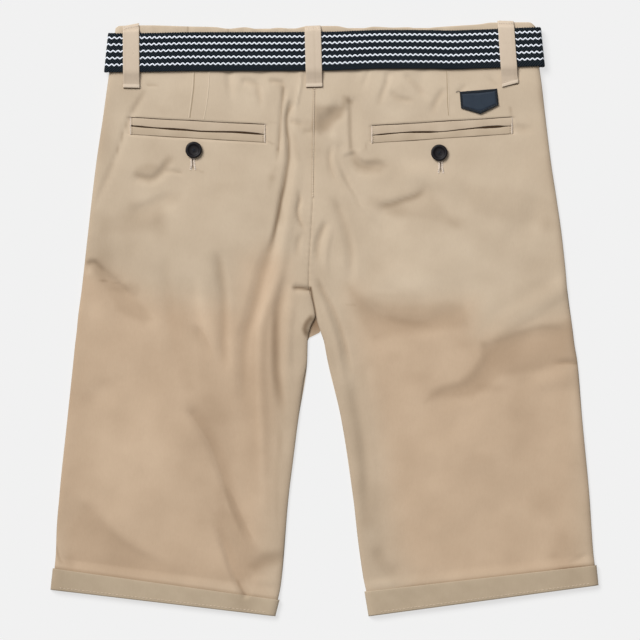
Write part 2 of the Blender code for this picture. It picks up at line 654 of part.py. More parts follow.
back_left = make_leg("left", BACK_LEFT)
back_right = make_leg("right", BACK_RIGHT)
make_waistband()
make_belt()
make_buckle()
bpy.context.view_layer.update()
back_height = surface_under(back_left, back_right)
for place in BACK_LOOPS:
    make_back_loop(place, back_height)
for place in FRONT_LOOPS:
    make_front_loop(place)
for side in ("left", "right"):
    make_welts(side, back_height)
    make_button(side, back_height)
make_patch(back_height)
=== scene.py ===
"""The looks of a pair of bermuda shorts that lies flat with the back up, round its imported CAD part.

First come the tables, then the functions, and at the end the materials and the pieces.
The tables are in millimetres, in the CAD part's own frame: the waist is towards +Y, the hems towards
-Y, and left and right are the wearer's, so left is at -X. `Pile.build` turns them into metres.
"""

import math
from collections import namedtuple

import bpy
import numpy as np
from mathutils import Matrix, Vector
from mathutils.bvhtree import BVHTree


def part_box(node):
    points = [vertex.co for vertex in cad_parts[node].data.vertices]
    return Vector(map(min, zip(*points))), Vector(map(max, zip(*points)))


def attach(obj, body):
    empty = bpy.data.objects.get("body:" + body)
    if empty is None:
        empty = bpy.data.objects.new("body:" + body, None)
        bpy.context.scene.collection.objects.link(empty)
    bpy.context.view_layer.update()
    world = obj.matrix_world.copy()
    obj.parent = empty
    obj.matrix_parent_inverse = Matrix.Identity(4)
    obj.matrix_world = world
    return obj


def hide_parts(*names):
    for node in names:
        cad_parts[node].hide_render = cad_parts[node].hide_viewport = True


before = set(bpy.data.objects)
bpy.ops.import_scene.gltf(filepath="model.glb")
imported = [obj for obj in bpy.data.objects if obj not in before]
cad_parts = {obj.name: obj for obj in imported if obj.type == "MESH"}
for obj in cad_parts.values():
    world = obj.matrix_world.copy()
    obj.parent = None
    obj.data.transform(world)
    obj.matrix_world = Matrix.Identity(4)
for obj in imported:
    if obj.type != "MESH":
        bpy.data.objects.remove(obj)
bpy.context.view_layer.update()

MM = 0.001
BODY = "root"
UP = np.array((0.0, 0.0, 1.0))

# ---- Walls and heights, as in the CAD part ----
SEAM_GAP = 0.3
CLOTH = 1.2
CUFF = 1.2
BAND = 2.0
STRAP = 2.2
LOOP = 1.4
WAIST_LIFT = 4.2  # underside of the front waistband
BAND_FRONT_Z = 5.2
LAYER_RISE = 3.3  # from the top of a front panel to the middle of the back panel's wall
BAND_BACK_Z = 8.7
STRAP_FRONT_Z = 2.8
STRAP_BACK_Z = 11.1
CUFF_LIFT = 1.5
CUFF_OUT = 1.6
CUFF_BELOW = 0.8
TWILL_WALL = 1.0  # the panels' and cuffs' shown wall
BAND_WALL = 1.8
STRAP_SHOWN = 0.92 * STRAP
LOOP_WALL, LIP_WALL = 1.2, 0.8


def rows_of(kind, rows):
    """The rows of a table with their fields named."""
    return [kind(*row) for row in rows]


# ---- Outline ----
Section = namedtuple("Section", "outer_x outer_y inner_x inner_y lift roll")

BACK_LEFT = rows_of(Section, [
    (-193, 225.5, -8.8, 225.5, WAIST_LIFT, 0), (-195.5, 208.5, -9.3, 208.5, 3.6, 0),
    (-199.5, 180, -9.8, 180, 1.2, 0), (-205, 143.5, -10.3, 143.5, 0, 0),
    (-209.5, 107.5, -10.8, 107.5, 0, 0), (-213.5, 71.5, -12.8, 71.5, 0, 0), (-216.5, 44, -14.3, 46, 0, 0),
    (-218.5, 26.5, -14.3, 28.5, 0, 0.3), (-220.5, 12, -10.3, 14, 0, 0.5), (-222, 0, -8.3, 3, 0, 0.7),
    (-223, -11, -12.5, -7, 0, 1), (-224.5, -23, -15, -18.5, 0, 1), (-226, -38, -15.5, -36.5, 0, 1),
    (-228, -56.5, -19, -56.5, 0, 1), (-231.5, -90.5, -23.5, -90.5, 0, 1),
    (-235, -126.5, -28, -126.5, 0, 1), (-238.5, -158, -32.5, -162.5, 0, 1), (-241, -187, -36, -203, 0, 1),
    (-242, -214, -39.5, -241, 0, 1), (-243, -224.5, -42, -252.5, CUFF_LIFT, 1),
    (-244.8, -242.5, -45.5, -266, CUFF_LIFT, 1),
])

BACK_RIGHT = rows_of(Section, [
    (193, 228, -8.5, 225.5, WAIST_LIFT, 0), (195.5, 210, -9, 208.5, 3.6, 0), (199, 180, -9.5, 180, 1.2, 0),
    (203.5, 143.5, -10, 143.5, 0, 0), (209, 107.5, -10.5, 107.5, 0, 0), (214, 71.5, -12.5, 71.5, 0, 0),
    (217, 44, -14, 46, 0, 0), (218.5, 26.5, -14, 28.5, 0, 0.3), (220, 12, -10, 14, 0, 0.5),
    (222, 0, -8, 3, 0, 0.7), (223.5, -11, -4, -10.5, 0, 1), (225, -23, -0.5, -20.5, 0, 1),
    (227.5, -38, 2.5, -36.5, 0, 1), (229, -56.5, 7.5, -55, 0, 1), (232, -90.5, 15, -90, 0, 1),
    (235.5, -126.5, 21.5, -126.5, 0, 1), (238.5, -160, 26, -162.5, 0, 1), (240.5, -190, 30, -199, 0, 1),
    (242, -211, 35, -233.5, 0, 1), (243.2, -221.5, 37.5, -245, CUFF_LIFT, 1),
    (244.8, -238.5, 41, -266, CUFF_LIFT, 1),
])

SECTIONS = {"left": BACK_LEFT, "right": BACK_RIGHT}
FRONT_SECTIONS = (0, 1, 2, 3, 5, 7, 9, 10, 11, 12, 14, 16, 18, 19, 20)
FRONT_CROTCH_SECTION = 10
FRONT_SEAM = [(-10.6, -3.1), (225.5, -8.5)]

# ---- Creases of the back panels ----
# height is above the cloth round it, or below if negative. The two reaches are the half widths on
# the left and on the right of someone who walks the line from its first point. start and end are
# the shares of the line over which the crease rises out of the flat.
Crease = namedtuple("Crease", "name height left right start end line")

CREASES = rows_of(Crease, [
    ("left seat puff", 2.2, 75, 75, 0.5, 0.5, [(-120, 130), (-125, 60), (-130, 0)]),
    ("left leg puff", 2, 75, 75, 0.5, 0.5, [(-135, -40), (-140, -130), (-145, -200)]),
    ("right seat puff", 2.4, 75, 75, 0.5, 0.5, [(100, 135), (110, 60), (120, 10)]),
    ("right leg puff", 2, 75, 75, 0.5, 0.5, [(130, -50), (135, -130), (140, -200)]),
    # the long fold from the belt down the left inseam
    ("long trough", -2.2, 9, 4, 0.05, 0.1, [(-29, 198), (-33, 187), (-34.5, 178), (-33, 160), (-32, 148),
        (-34, 134), (-37, 118), (-40, 103), (-43, 86), (-47, 68), (-51, 56)]),
    ("its lower run", -2.1, 10, 10, 0.15, 0.4, [(-44, 82), (-50, 58), (-56, 42), (-61, 22), (-66, 2),
        (-72, -18), (-73, -38), (-72, -65), (-70, -105)]),
    ("long fold", 1.4, 9, 8, 0.2, 0.35, [(-25, 165), (-26, 130), (-31, 100), (-36, 70), (-42, 42),
        (-50, 18), (-57, -5), (-59, -35), (-58, -70), (-56, -110), (-55, -180)]),
    ("its inner trough", -1.8, 8, 7, 0.2, 0.3, [(-31, 44), (-37, 25), (-42, 5), (-43, -15), (-43, -45),
        (-40, -72), (-37, -95)]),
    ("inner roll", 1, 6, 6, 0.3, 0.4, [(-27, 30), (-31, 5), (-33, -30), (-31, -70)]),
    ("crease beside the long trough", -1.2, 5, 3, 0.05, 0.3, [(-36, 211), (-38, 196), (-39.5, 180),
        (-40.5, 163), (-42, 150), (-44, 138)]),
    ("roll between them", 0.8, 3, 3.5, 0.2, 0.3, [(-31, 205), (-35, 192), (-37, 178), (-36, 160),
        (-37, 140)]),
    ("sharp ridge under the belt", 0.9, 2.5, 3.5, 0.1, 0.3, [(-21, 224), (-22, 210), (-24, 200),
        (-26, 190), (-29, 181)]),
    ("dent above the pocket line", -1, 4, 4, 0.3, 0.4, [(-32, 180), (-26, 177), (-18, 174)]),
    ("nick beside the seam", -0.6, 2.5, 2, 0.3, 0.3, [(-20, 168), (-11, 168.5)]),
    # between the centre seam and the right pocket
    ("hollow beside the centre loop", -2, 10, 12, 0.25, 0.3, [(-7, 173), (2, 179), (11, 187), (18, 195)]),
    ("bright roll below it", 0.8, 8, 8, 0.4, 0.4, [(3, 168), (9, 164), (14, 154)]),
    ("step beside the seat", -1.1, 13, 2.5, 0.08, 0.1, [(22, 200), (23, 188), (23.5, 168), (25, 149)]),
    ("its foot", -2, 6, 13, 0.1, 0.45, [(24, 152), (29, 142), (37, 138), (48, 138), (62, 141)]),
    ("seat smile", -1.2, 4, 15, 0.2, 0.3, [(44, 101), (56, 103), (70, 107), (82, 111), (94, 120)]),
    ("small trough by the seam", -1, 4, 4, 0.3, 0.4, [(6, 160), (4.5, 142), (8, 129), (13, 121)]),
    ("ridge by the seam", 1.4, 5, 5, 0.3, 0.4, [(8, 160), (9, 142), (16, 125), (28, 108), (42, 92),
        (55, 72)]),
    ("trough by the seam", -1, 5, 5, 0.3, 0.4, [(14, 137), (22, 119), (30, 106), (37, 93)]),
    ("long soft trough", -1.5, 7, 8, 0.2, 0.3, [(5, 113), (12, 101), (17, 87), (22, 71), (24, 54),
        (23, 28)]),
    ("dent right of the seam", -1.7, 5, 6, 0.2, 0.4, [(3, 90), (-1, 81), (-6, 66), (-7, 46)]),
    ("roll beside it", 0.8, 4, 4, 0.3, 0.4, [(8, 84), (3, 70), (1, 50), (6, 34)]),
    ("dent left of the seam", -1.7, 3.5, 4, 0.3, 0.2, [(-24, 118), (-22, 107), (-24, 98), (-22, 88),
        (-16, 79)]),
    ("dent below it", -1, 5, 5, 0.4, 0.4, [(-20, 80), (-24, 67), (-25, 53)]),
    ("crotch wedge", -2.2, 3, 7, 0.25, 0.1, [(-30, 29), (-21, 28.5), (-12, 26)]),
    ("right inseam trough", -1.7, 3.5, 7, 0.15, 0.3, [(-8, 40), (0, 24), (8, 9), (13, -4), (18, -20),
        (22, -38), (25, -55)]),
    ("its lower run, right", -1.2, 8, 8, 0.2, 0.4, [(24, -46), (29, -75), (35, -110), (38, -150),
        (38, -190)]),
    ("right inseam ridge", 1, 5, 4, 0.3, 0.4, [(-12, 36), (-3, 17), (3, 0), (9, -18), (14, -40),
        (21, -75)]),
    # right seat and thigh
    ("seat roll", 1.7, 16, 14, 0.4, 0.4, [(60, 122), (84, 130), (106, 124), (126, 100)]),
    ("bright seat", 1.1, 28, 26, 0.3, 0.4, [(34, 34), (60, 32), (96, 36), (130, 40)]),
    ("thigh crease", -1.2, 10, 18, 0.35, 0.35, [(26, 22), (40, 9), (58, -1), (76, -4), (94, -3), (108, 5),
        (124, 11)]),
    ("right thigh ridge", 1.6, 12, 15, 0.1, 0.35, [(222, 34), (206, 22), (190, 12), (172, 2), (156, -8),
        (142, -16)]),
    ("right thigh trough", -1.1, 7, 26, 0.1, 0.2, [(138, -30), (156, -22), (176, -15), (198, -10),
        (226, -12)]),
    ("its lower run to the left", -1.1, 20, 9, 0.3, 0.2, [(158, -26), (148, -36), (140, -50), (128, -61),
        (112, -66), (92, -73)]),
    ("notch at the right side", -1.2, 4, 5, 0.2, 0.5, [(232, -41), (218, -39), (202, -41)]),
    ("roll below it", 0.9, 12, 12, 0.3, 0.4, [(230, -52), (212, -54), (180, -62)]),
    ("right knee swell", 0.9, 30, 30, 0.5, 0.5, [(90, -110), (130, -120), (170, -110)]),
    ("fold into the right hem", -1, 12, 10, 0.3, 0.25, [(46, -203), (50, -217), (59, -226), (72, -230)]),
    ("roll above the right cuff", 0.9, 6, 6, 0.4, 0.4, [(38, -238), (52, -238), (70, -236)]),
    ("right corner crease", -0.8, 4, 4, 0.3, 0.3, [(218, -222), (230, -216), (238, -210)]),
    ("right side dent", -0.9, 5, 8, 0.4, 0.4, [(166, 173), (176, 172), (188, 170)]),
    ("soft dent down the right side", -0.8, 16, 16, 0.4, 0.4, [(194, 122), (190, 100), (188, 76)]),
    # left seat and thigh
    ("crease from the left loop to the side", -0.8, 6, 3, 0.1, 0.3, [(-161, 207), (-167, 196), (-175, 182),
        (-181, 168), (-186, 152), (-193, 134), (-203, 110), (-210, 92)]),
    ("nick under the left loop", -0.5, 2, 2.5, 0.3, 0.3, [(-161, 210.5), (-149, 211)]),
    ("pocket dent", -1.7, 5, 9, 0.2, 0.3, [(-174, 132), (-165, 127), (-156, 126), (-148, 131), (-142, 140),
        (-136, 146)]),
    ("branch of the pocket dent", -1, 3, 4, 0.3, 0.3, [(-146, 133), (-135, 133), (-125, 130)]),
    ("soft dent under the left pocket", -1.2, 8, 14, 0.3, 0.3, [(-180, 94), (-162, 100), (-148, 106),
        (-131, 112)]),
    ("left side dent", -1.8, 4, 10, 0.05, 0.3, [(-217, 48), (-208, 51), (-202, 46), (-194, 38), (-182, 28),
        (-166, 14)]),
    ("roll below it, left", 1, 10, 12, 0.3, 0.5, [(-218, 40), (-206, 26), (-196, 6), (-188, -14)]),
    ("left thigh trough", -1.7, 8, 9, 0.15, 0.25, [(-98, 64), (-94, 45), (-91, 18), (-91, -14),
        (-90, -50)]),
    ("ridge left of it", 1, 12, 9, 0.3, 0.4, [(-110, 48), (-110, 18), (-106, -8), (-98, -34)]),
    ("small crease across the left thigh", -1, 3, 12, 0.4, 0.4, [(-122, -5), (-113, -8), (-107, -17),
        (-99, -36)]),
    ("soft trough of the left leg", -0.9, 12, 12, 0.4, 0.4, [(-146, 70), (-143, 25), (-138, -10),
        (-128, -50)]),
    ("dent at the left side of the knee", -1, 18, 20, 0.4, 0.4, [(-222, -74), (-208, -70), (-190, -54)]),
    ("left knee trough", -1.6, 11, 7, 0.1, 0.15, [(-126, -77), (-114, -93), (-105, -107), (-98, -122),
        (-93, -136), (-88, -150), (-82, -164), (-75, -180), (-64, -204)]),
    ("trough into the left cuff", -2, 9, 5, 0.4, 0.05, [(-104, -178), (-96, -191), (-89, -208),
        (-83, -226), (-76, -241), (-69, -252)]),
    ("left hem dent", -0.7, 9, 9, 0.3, 0.1, [(-70, -223), (-58, -219), (-48, -216), (-34, -215)]),
    ("roll under it", 0.6, 7, 7, 0.3, 0.3, [(-66, -234), (-54, -236), (-42, -238)]),
    ("slanting trough to the left hem", -1.5, 8, 30, 0.2, 0.3, [(-230, -160), (-216, -171), (-204, -185),
        (-188, -200), (-170, -212), (-136, -229)]),
    ("crease at the left side of the hem", -0.9, 3, 3, 0.3, 0.3, [(-241, -203), (-239, -214),
        (-234, -224)]),
    # under the belt
    ("gather 1", -1.2, 6, 6, 0.05, 0.5, [(-86, 226), (-85, 210), (-82, 192)]),
    ("gather 2", -1.4, 5, 5, 0.1, 0.5, [(-76, 214), (-66, 213), (-60, 208), (-58, 198), (-56, 184)]),
    ("gather 3", -1.4, 3, 3.5, 0.2, 0.2, [(-50, 216), (-45, 213), (-39, 213), (-36, 208)]),
    ("gather 4", -1.1, 5, 4, 0.05, 0.5, [(58, 222), (55, 211), (52, 203), (46, 188)]),
    ("gather 5", -1.2, 6, 5, 0.1, 0.5, [(72, 220), (82, 211), (89, 202), (97, 194)]),
    ("gather 6", -1, 4, 4, 0.2, 0.4, [(58, 206), (68, 198), (82, 196)]),
    ("gather 7", -1.2, 4, 5, 0.2, 0.4, [(110, 208), (102, 198), (95, 182)]),
    ("gather 8", -0.9, 3, 3, 0.3, 0.3, [(128, 212), (123, 206), (118, 202)]),
    ("gather 9", -0.7, 4, 4, 0.3, 0.3, [(146, 218), (152, 213), (157, 207)]),
    ("gather 10", -0.8, 4, 4, 0.1, 0.5, [(40, 226), (36, 212), (32, 204)]),
])

# Dark and light bands of the back panels: the share of the light that is lost along the middle of the
# line, or won if negative. Reaches and ends are as for the creases.
Shade = namedtuple("Shade", "share left right start end line")

SHADES = rows_of(Shade, [
    # the long fold at the left of the centre
    (0.42, 3, 2.2, 0.06, 0.2, [(-28, 195), (-33, 187), (-34.5, 180), (-34, 170), (-32.3, 158),
        (-32.3, 146), (-34, 134), (-36, 122), (-39, 109), (-41, 98), (-43.5, 86), (-46, 74), (-49, 62)]),
    (0.3, 3.5, 3, 0.3, 0.3, [(-34, 136), (-36, 122), (-39, 109), (-41, 98), (-43.5, 86), (-46, 74),
        (-52, 52)]),
    (0.18, 7, 6, 0.15, 0.5, [(-44, 80), (-50, 60), (-55, 44), (-60, 25), (-65, 5), (-71, -15), (-73, -35),
        (-72, -65), (-70, -105)]),
    (0.28, 1.8, 1.6, 0.05, 0.2, [(-37, 211), (-38, 195), (-39.5, 180), (-40.5, 164), (-42, 150),
        (-44, 139)]),
    (0.08, 5, 5, 0.2, 0.3, [(-43, 140), (-47, 128), (-50, 112)]),
    (0.14, 3.5, 3.5, 0.2, 0.3, [(-32, 179), (-26, 176), (-19, 174)]),
    (0.16, 1.8, 1.6, 0.2, 0.2, [(-20, 168), (-11, 168.5)]),
    (0.08, 4, 4, 0.2, 0.2, [(-27, 170), (-25, 152), (-22, 139)]),
    (0.16, 2.6, 2.6, 0.3, 0.2, [(-24, 117), (-22, 108), (-24, 98), (-23, 90), (-19, 82), (-16, 79)]),
    (0.1, 4, 4, 0.3, 0.2, [(-21, 79), (-24, 67), (-24, 54)]),
    (0.34, 6.5, 6, 0.4, 0.3, [(-31, 43), (-37, 24), (-43, 4), (-44, -15), (-43.5, -45), (-40, -72),
        (-37, -95)]),
    (0.05, 4, 4, 0.3, 0.3, [(-41, -100), (-43, -150), (-42, -205)]),
    (-0.09, 5, 5, 0.2, 0.3, [(-33, 78), (-37, 58), (-46, 30), (-55, 6), (-59, -10), (-60, -50),
        (-57, -110), (-55, -195)]),
    (-0.14, 1.2, 1.2, 0.1, 0.3, [(-21.5, 218), (-23, 205), (-24.5, 197), (-27, 187)]),
    # between the centre seam and the right pocket
    (-0.07, 7, 7, 0.4, 0.4, [(4, 168), (12, 163)]),
    (0.12, 1.5, 4, 0.05, 0.1, [(22, 202), (23.2, 188), (23.2, 166), (24, 150)]),
    (0.24, 4, 4, 0.3, 0.3, [(18, 197), (22, 196), (27, 194)]),
    (0.15, 4, 4, 0.3, 0.4, [(25, 146), (30, 139), (38, 136.5), (48, 137)]),
    (0.09, 2, 2, 0.3, 0.3, [(5.5, 158), (4.5, 142), (8, 129), (12, 121)]),
    (0.07, 1.5, 1.5, 0.3, 0.3, [(12.5, 160), (12, 147)]),
    (0.07, 3, 3, 0.3, 0.4, [(13, 138), (20, 122), (28, 108), (35, 93)]),
    (0.1, 5, 5, 0.15, 0.3, [(5, 112), (12, 100), (17, 86), (22, 70), (24, 55), (23, 36)]),
    (0.15, 4, 4, 0.2, 0.3, [(2, 88), (-2, 80), (-6, 65), (-7, 47)]),
    # crotch and right inseam
    (0.66, 2.2, 2.6, 0.3, 0.05, [(-31, 28), (-21, 28), (-12, 26.5)]),
    (0.75, 1.6, 1.8, 0.05, 0.1, [(-12.5, 30), (-11, 20), (-8.5, 8), (-7, -3)]),
    (0.6, 5, 4, 0.2, 0.2, [(-9, 4), (-15, -2), (-18, -9), (-15, -17)]),
    (0.14, 3, 5, 0.1, 0.3, [(-8, 40), (0, 23), (8, 9), (13, -4), (18, -20), (22, -38), (25, -54)]),
    (0.14, 19, 9, 0.2, 0.1, [(20, -48), (24, -75), (30, -110), (35, -150), (39, -195)]),
    (0.12, 1, 1, 0.1, 0.1, [(18, 12.3), (28, 12.3)]),
    # right seat and thigh
    (0.29, 2.4, 6, 0.2, 0.25, [(46, 101), (58, 103), (70, 107), (82, 111), (92, 119)]),
    (-0.03, 14, 12, 0.4, 0.4, [(44, 30), (80, 32), (120, 36)]),
    (-0.05, 4, 4, 0.3, 0.4, [(38, 26), (56, 25), (72, 24)]),
    (0.07, 5, 12, 0.15, 0.2, [(26, 21), (40, 9), (58, -1), (76, -4), (94, -3), (106, 3), (122, 11)]),
    (0.1, 5.5, 6.5, 0.25, 0.3, [(52, 4), (70, -2), (86, -4), (101, -3)]),
    (0.06, 4, 10, 0.15, 0.05, [(142, -27), (158, -20), (176, -13), (198, -9), (228, -12)]),
    (0.18, 2.2, 2.2, 0.4, 0.05, [(204, -41), (216, -39), (231, -40.5)]),
    (-0.07, 7, 6, 0.3, 0.3, [(141, -14), (162, -7), (182, 3), (206, 16)]),
    (0.11, 10, 10, 0.35, 0.3, [(47, -200), (50, -215), (58, -226), (74, -230)]),
    (0.09, 12, 5, 0.3, 0.4, [(191, 216), (195, 200), (199, 184), (201, 166)]),
    # left seat and thigh
    (0.22, 1.7, 1.6, 0.2, 0.2, [(-161, 210.7), (-149, 210.7)]),
    (0.12, 4, 4, 0.1, 0.2, [(-161, 207), (-167, 197), (-175, 184)]),
    (0.22, 1.4, 1.4, 0.05, 0.3, [(-175, 182), (-181, 168), (-185.5, 154), (-191, 141)]),
    (0.06, 6, 6, 0.1, 0.4, [(-190, 143), (-196, 128), (-206, 104)]),
    (0.07, 3, 4, 0.2, 0.3, [(-173, 132), (-164, 128), (-155, 126.5), (-147, 132), (-142, 140),
        (-136, 146)]),
    (0.18, 1.8, 1.8, 0.2, 0.3, [(-145, 133), (-134, 133), (-126, 130.5)]),
    (0.14, 1.5, 1.5, 0.1, 0.3, [(-118, 135.5), (-112, 133), (-107, 131)]),
    (0.17, 3.5, 4.5, 0.15, 0.3, [(-215, 49), (-208, 52.5), (-203, 49), (-197, 41)]),
    (0.24, 1.3, 1.3, 0.2, 0.2, [(-204, 35), (-195, 33.5), (-183, 33)]),
    (0.12, 7, 7, 0.3, 0.3, [(-196, 32), (-184, 27), (-172, 27)]),
    (0.05, 9, 9, 0.3, 0.3, [(-146, 72), (-142, 30), (-137, -6), (-126, -50)]),
    (0.19, 7, 6, 0.15, 0.2, [(-97, 63), (-94, 44), (-91, 16), (-91, -15), (-90, -50)]),
    (0.09, 1.6, 13, 0.3, 0.4, [(-122, -5), (-113, -8), (-107, -17), (-99, -36)]),
    (-0.07, 11, 9, 0.4, 0.3, [(-112, 40), (-110, 12), (-104, -16)]),
    (0.15, 14, 3, 0.06, 0.2, [(-124, -79), (-114, -93), (-105, -107), (-99, -120), (-94, -134),
        (-90, -148), (-86, -164), (-79, -182), (-70, -200)]),
    (0.12, 2, 8, 0.3, 0.15, [(-91, -142), (-84, -158), (-78, -171), (-71, -186), (-63, -203)]),
    (0.1, 9, 2.2, 0.3, 0.02, [(-104, -178), (-96, -190), (-89, -208), (-83, -226), (-76, -241),
        (-69, -252)]),
    (0.25, 3, 3, 0.3, 0.02, [(-80, -232), (-75, -243), (-70, -252)]),
    (0.15, 13, 42, 0.2, 0.3, [(-230, -164), (-215, -171), (-204, -185), (-188, -200), (-170, -212),
        (-138, -229)]),
    (0.16, 1.8, 1.8, 0.3, 0.3, [(-241, -203), (-239, -214), (-234, -224)]),
    (0.08, 15, 2, 0.1, 0.1, [(-244, -214), (-200, -220), (-150, -227), (-105, -233), (-70, -238)]),
    # under the belt
    (0.1, 4, 4, 0.2, 0.3, [(-74, 212), (-63, 212), (-59, 204), (-57, 188)]),
    (0.1, 4, 4, 0.1, 0.3, [(57, 216), (53, 205), (47, 189)]),
    (0.11, 5, 5, 0.3, 0.3, [(58, 205), (68, 197.5), (82, 197)]),
    (0.1, 5, 5, 0.2, 0.3, [(73, 217), (82, 210), (91, 200)]),
    (0.11, 4.5, 4.5, 0.2, 0.3, [(109, 206), (101, 196), (96, 181)]),
    (0.09, 3, 3, 0.3, 0.3, [(128, 211), (119, 203)]),
    (0.07, 3, 3, 0.3, 0.3, [(148, 217), (157, 208)]),
    # edges of the pocket bags, which show through
    (0.15, 1.3, 1.3, 0.1, 0.3, [(-53, 161), (-46, 157.5), (-41, 156)]),
    (0.18, 1.3, 1.3, 0.2, 0.3, [(-52, 176.3), (-41, 175.8)]),
    (0.16, 1.6, 1.6, 0.2, 0.3, [(39, 161), (37.6, 156), (36, 149)]),
    (0.2, 1.3, 1.3, 0.3, 0.1, [(165, 194), (167.5, 188), (168.7, 181)]),
])

# Soft patches, with the share of the light lost or won in the middle.
Cloud = namedtuple("Cloud", "share x y reach_x reach_y")

CLOUDS = rows_of(Cloud, [
    (0.1, 178, 171, 11, 8), (0.07, 190, 50, 30, 15), (0.06, 62, -34, 13, 9), (0.05, 128, -22, 16, 9),
    (0.05, 86, -53, 17, 10), (0.05, 142, -125, 20, 9), (0.06, 196, -166, 18, 16),
    (0.05, 214, -196, 12, 12), (0.06, 206, -213, 8, 5), (0.05, 227, -213, 10, 5), (-0.06, 52, -239, 18, 6),
    (0.12, -47.5, 127, 6, 6), (0.13, -148, 86, 12, 26), (0.15, -40, 94, 5, 14), (0.12, 66, 97, 15, 10),
    (0.09, 118, 86, 13, 10), (0.11, 200, 84, 12, 13), (0.12, 150, -62, 22, 8), (-0.1, 149, -22, 8, 6),
    (-0.08, 41, -50, 8, 16), (0.09, -122, -60, 10, 10), (0.08, -94, -158, 8, 14), (0.12, -40, -112, 5, 22),
    (0.11, 47, -209, 17, 24), (0.1, 216, -205, 22, 30), (0.13, -230, -219, 10, 9), (0.07, 48, 46, 13, 13),
    (0.18, -42, 153, 3, 4), (-0.08, 70, 187, 26, 11), (-0.05, 114, 187, 7, 9), (-0.06, -74, 196, 24, 16),
    (-0.05, -26, 190, 4, 9), (0.04, -165, 88, 36, 15), (0.05, -90, 118, 28, 9), (0.04, -145, 188, 10, 8),
    (0.05, -197, 165, 12, 50), (0.06, -126, -51, 10, 10), (0.05, -214, -70, 12, 9),
    (0.05, -196, -56, 14, 9), (0.06, -95, -88, 22, 12), (0.14, -60, -72, 30, 80), (0.15, -200, 60, 16, 50),
    (0.13, -182, 58, 34, 40), (0.06, -163, 94, 26, 15), (-0.05, -206, 8, 16, 24), (-0.09, -213, 42, 6, 5),
    (-0.1, -170, -130, 55, 80), (-0.04, 60, -120, 22, 50), (0.07, 176, -85, 24, 110),
    (0.06, -107, -95, 22, 90), (0.07, -40, -40, 12, 80), (0.07, 96, 86, 50, 24), (-0.07, 230, -85, 14, 70),
    (-0.05, -202, -120, 20, 55), (0.06, 66, -196, 22, 24),
])

# Patches with a clearer border: the share of the light lost or won in them, and how soft the border is.
Region = namedtuple("Region", "share blur outline")

REGIONS = rows_of(Region, [
    (0.25, 3.2, [(-9, 192), (3, 192), (15, 192), (17, 201), (21, 200), (20, 190), (16, 182), (10, 177),
        (4, 170), (-4, 166), (-12, 171), (-10, 180)]),
    (0.13, 3.2, [(3, 190), (16, 190), (15, 181), (6, 178), (2, 171), (-6, 171), (-9, 177), (2, 181)]),
    (0.08, 2.6, [(-26, 181), (-10, 179), (-10, 168), (-20, 166), (-25, 172)]),
    (0.16, 2.9, [(23, 196), (24, 166), (26, 154), (30, 147), (36, 143), (48, 145), (57, 138), (50, 132),
        (36, 130.5), (28, 133), (24, 141), (22.5, 160), (22, 190)]),
    (0.09, 4.2, [(41, 110), (60, 108), (68, 113), (80, 116), (90, 122), (96, 119), (100, 109), (108, 97),
        (119, 87), (121, 82), (104, 87), (84, 91), (60, 93), (48, 97), (39, 104)]),
    (0.07, 5.6, [(122, 119), (150, 121), (186, 113), (205, 106), (203, 88), (172, 86), (134, 97),
        (128, 108)]),
    (-0.08, 11, [(36, 26), (58, 56), (62, 90), (88, 88), (124, 76), (166, 42), (166, 22), (120, 17),
        (90, 20), (50, 21)]),
    (0.13, 4.8, [(20, 32), (28, 25), (36, 20), (56, 13), (90, 12), (110, 16), (124, 12), (130, 2),
        (128, -6), (104, -10), (90, -11), (62, -15), (44, -20), (36, -8), (28, 4)]),
    (0.16, 4.2, [(141, -20), (152, -19), (170, -13), (196, -5), (218, -1), (236, -6), (236, -41),
        (206, -42), (186, -47), (160, -51), (142, -64), (132, -71), (100, -71), (90, -75), (96, -66),
        (106, -60), (120, -56), (132, -46), (141, -34)]),
    (0.09, 7.2, [(146, -24), (172, -20), (170, -40), (152, -48), (140, -62), (118, -66), (126, -57),
        (142, -42)]),
    (0.13, 3.5, [(-213, 51), (-208, 55), (-202, 54), (-197, 47), (-186, 40), (-180, 33), (-168, 31),
        (-167, 26), (-170, 19), (-160, 8), (-156, 0), (-163, -4), (-188, 8), (-190, 16), (-200, 32),
        (-208, 44)]),
    (0.16, 2.9, [(-170, 135), (-165, 138), (-158, 140), (-148, 138), (-144, 144), (-140, 147), (-136, 145),
        (-140, 138), (-146, 130), (-152, 125), (-158, 122), (-165, 125), (-171, 129)]),
    (0.08, 4.8, [(-176, 106), (-160, 104), (-152, 109), (-136, 113), (-130, 113), (-132, 106), (-145, 101),
        (-148, 86), (-158, 78), (-203, 78), (-200, 92), (-178, 96)]),
    (0.06, 8, [(-144, 34), (-132, 28), (-124, -10), (-120, -50), (-138, -56), (-142, -10)]),
    (-0.07, 5.6, [(-124, 20), (-104, 22), (-100, -8), (-98, -24), (-108, -12), (-116, -6), (-124, -4)]),
    (0.09, 9, [(-124, -74), (-104, -66), (-88, -74), (-80, -120), (-86, -150), (-98, -132), (-108, -108),
        (-118, -92)]),
    (0.12, 5, [(-100, -176), (-92, -168), (-80, -176), (-66, -200), (-56, -208), (-42, -208), (-42, -222),
        (-62, -228), (-74, -236), (-80, -226), (-90, -202), (-97, -186)]),
    (0.2, 4.5, [(-68, -222), (-56, -212), (-38, -209), (-38, -218), (-52, -222), (-62, -226)]),
    (-0.05, 4.8, [(-70, -236), (-50, -226), (-42, -224), (-42, -250), (-66, -248)]),
    (0.12, 2.6, [(-50, 214), (-46, 216.5), (-37, 215), (-35, 208), (-37, 196), (-40, 206), (-44, 210)]),
])

# Painted light: the cloth is brighter towards the belt and darker down to the hems, as the light falls off.
LIGHT_FALLOFF_DOWN = [(-230, 0.88), (-60, 0.9), (20, 0.94), (80, 0.98), (150, 1), (190, 1.05), (224, 1.1)]

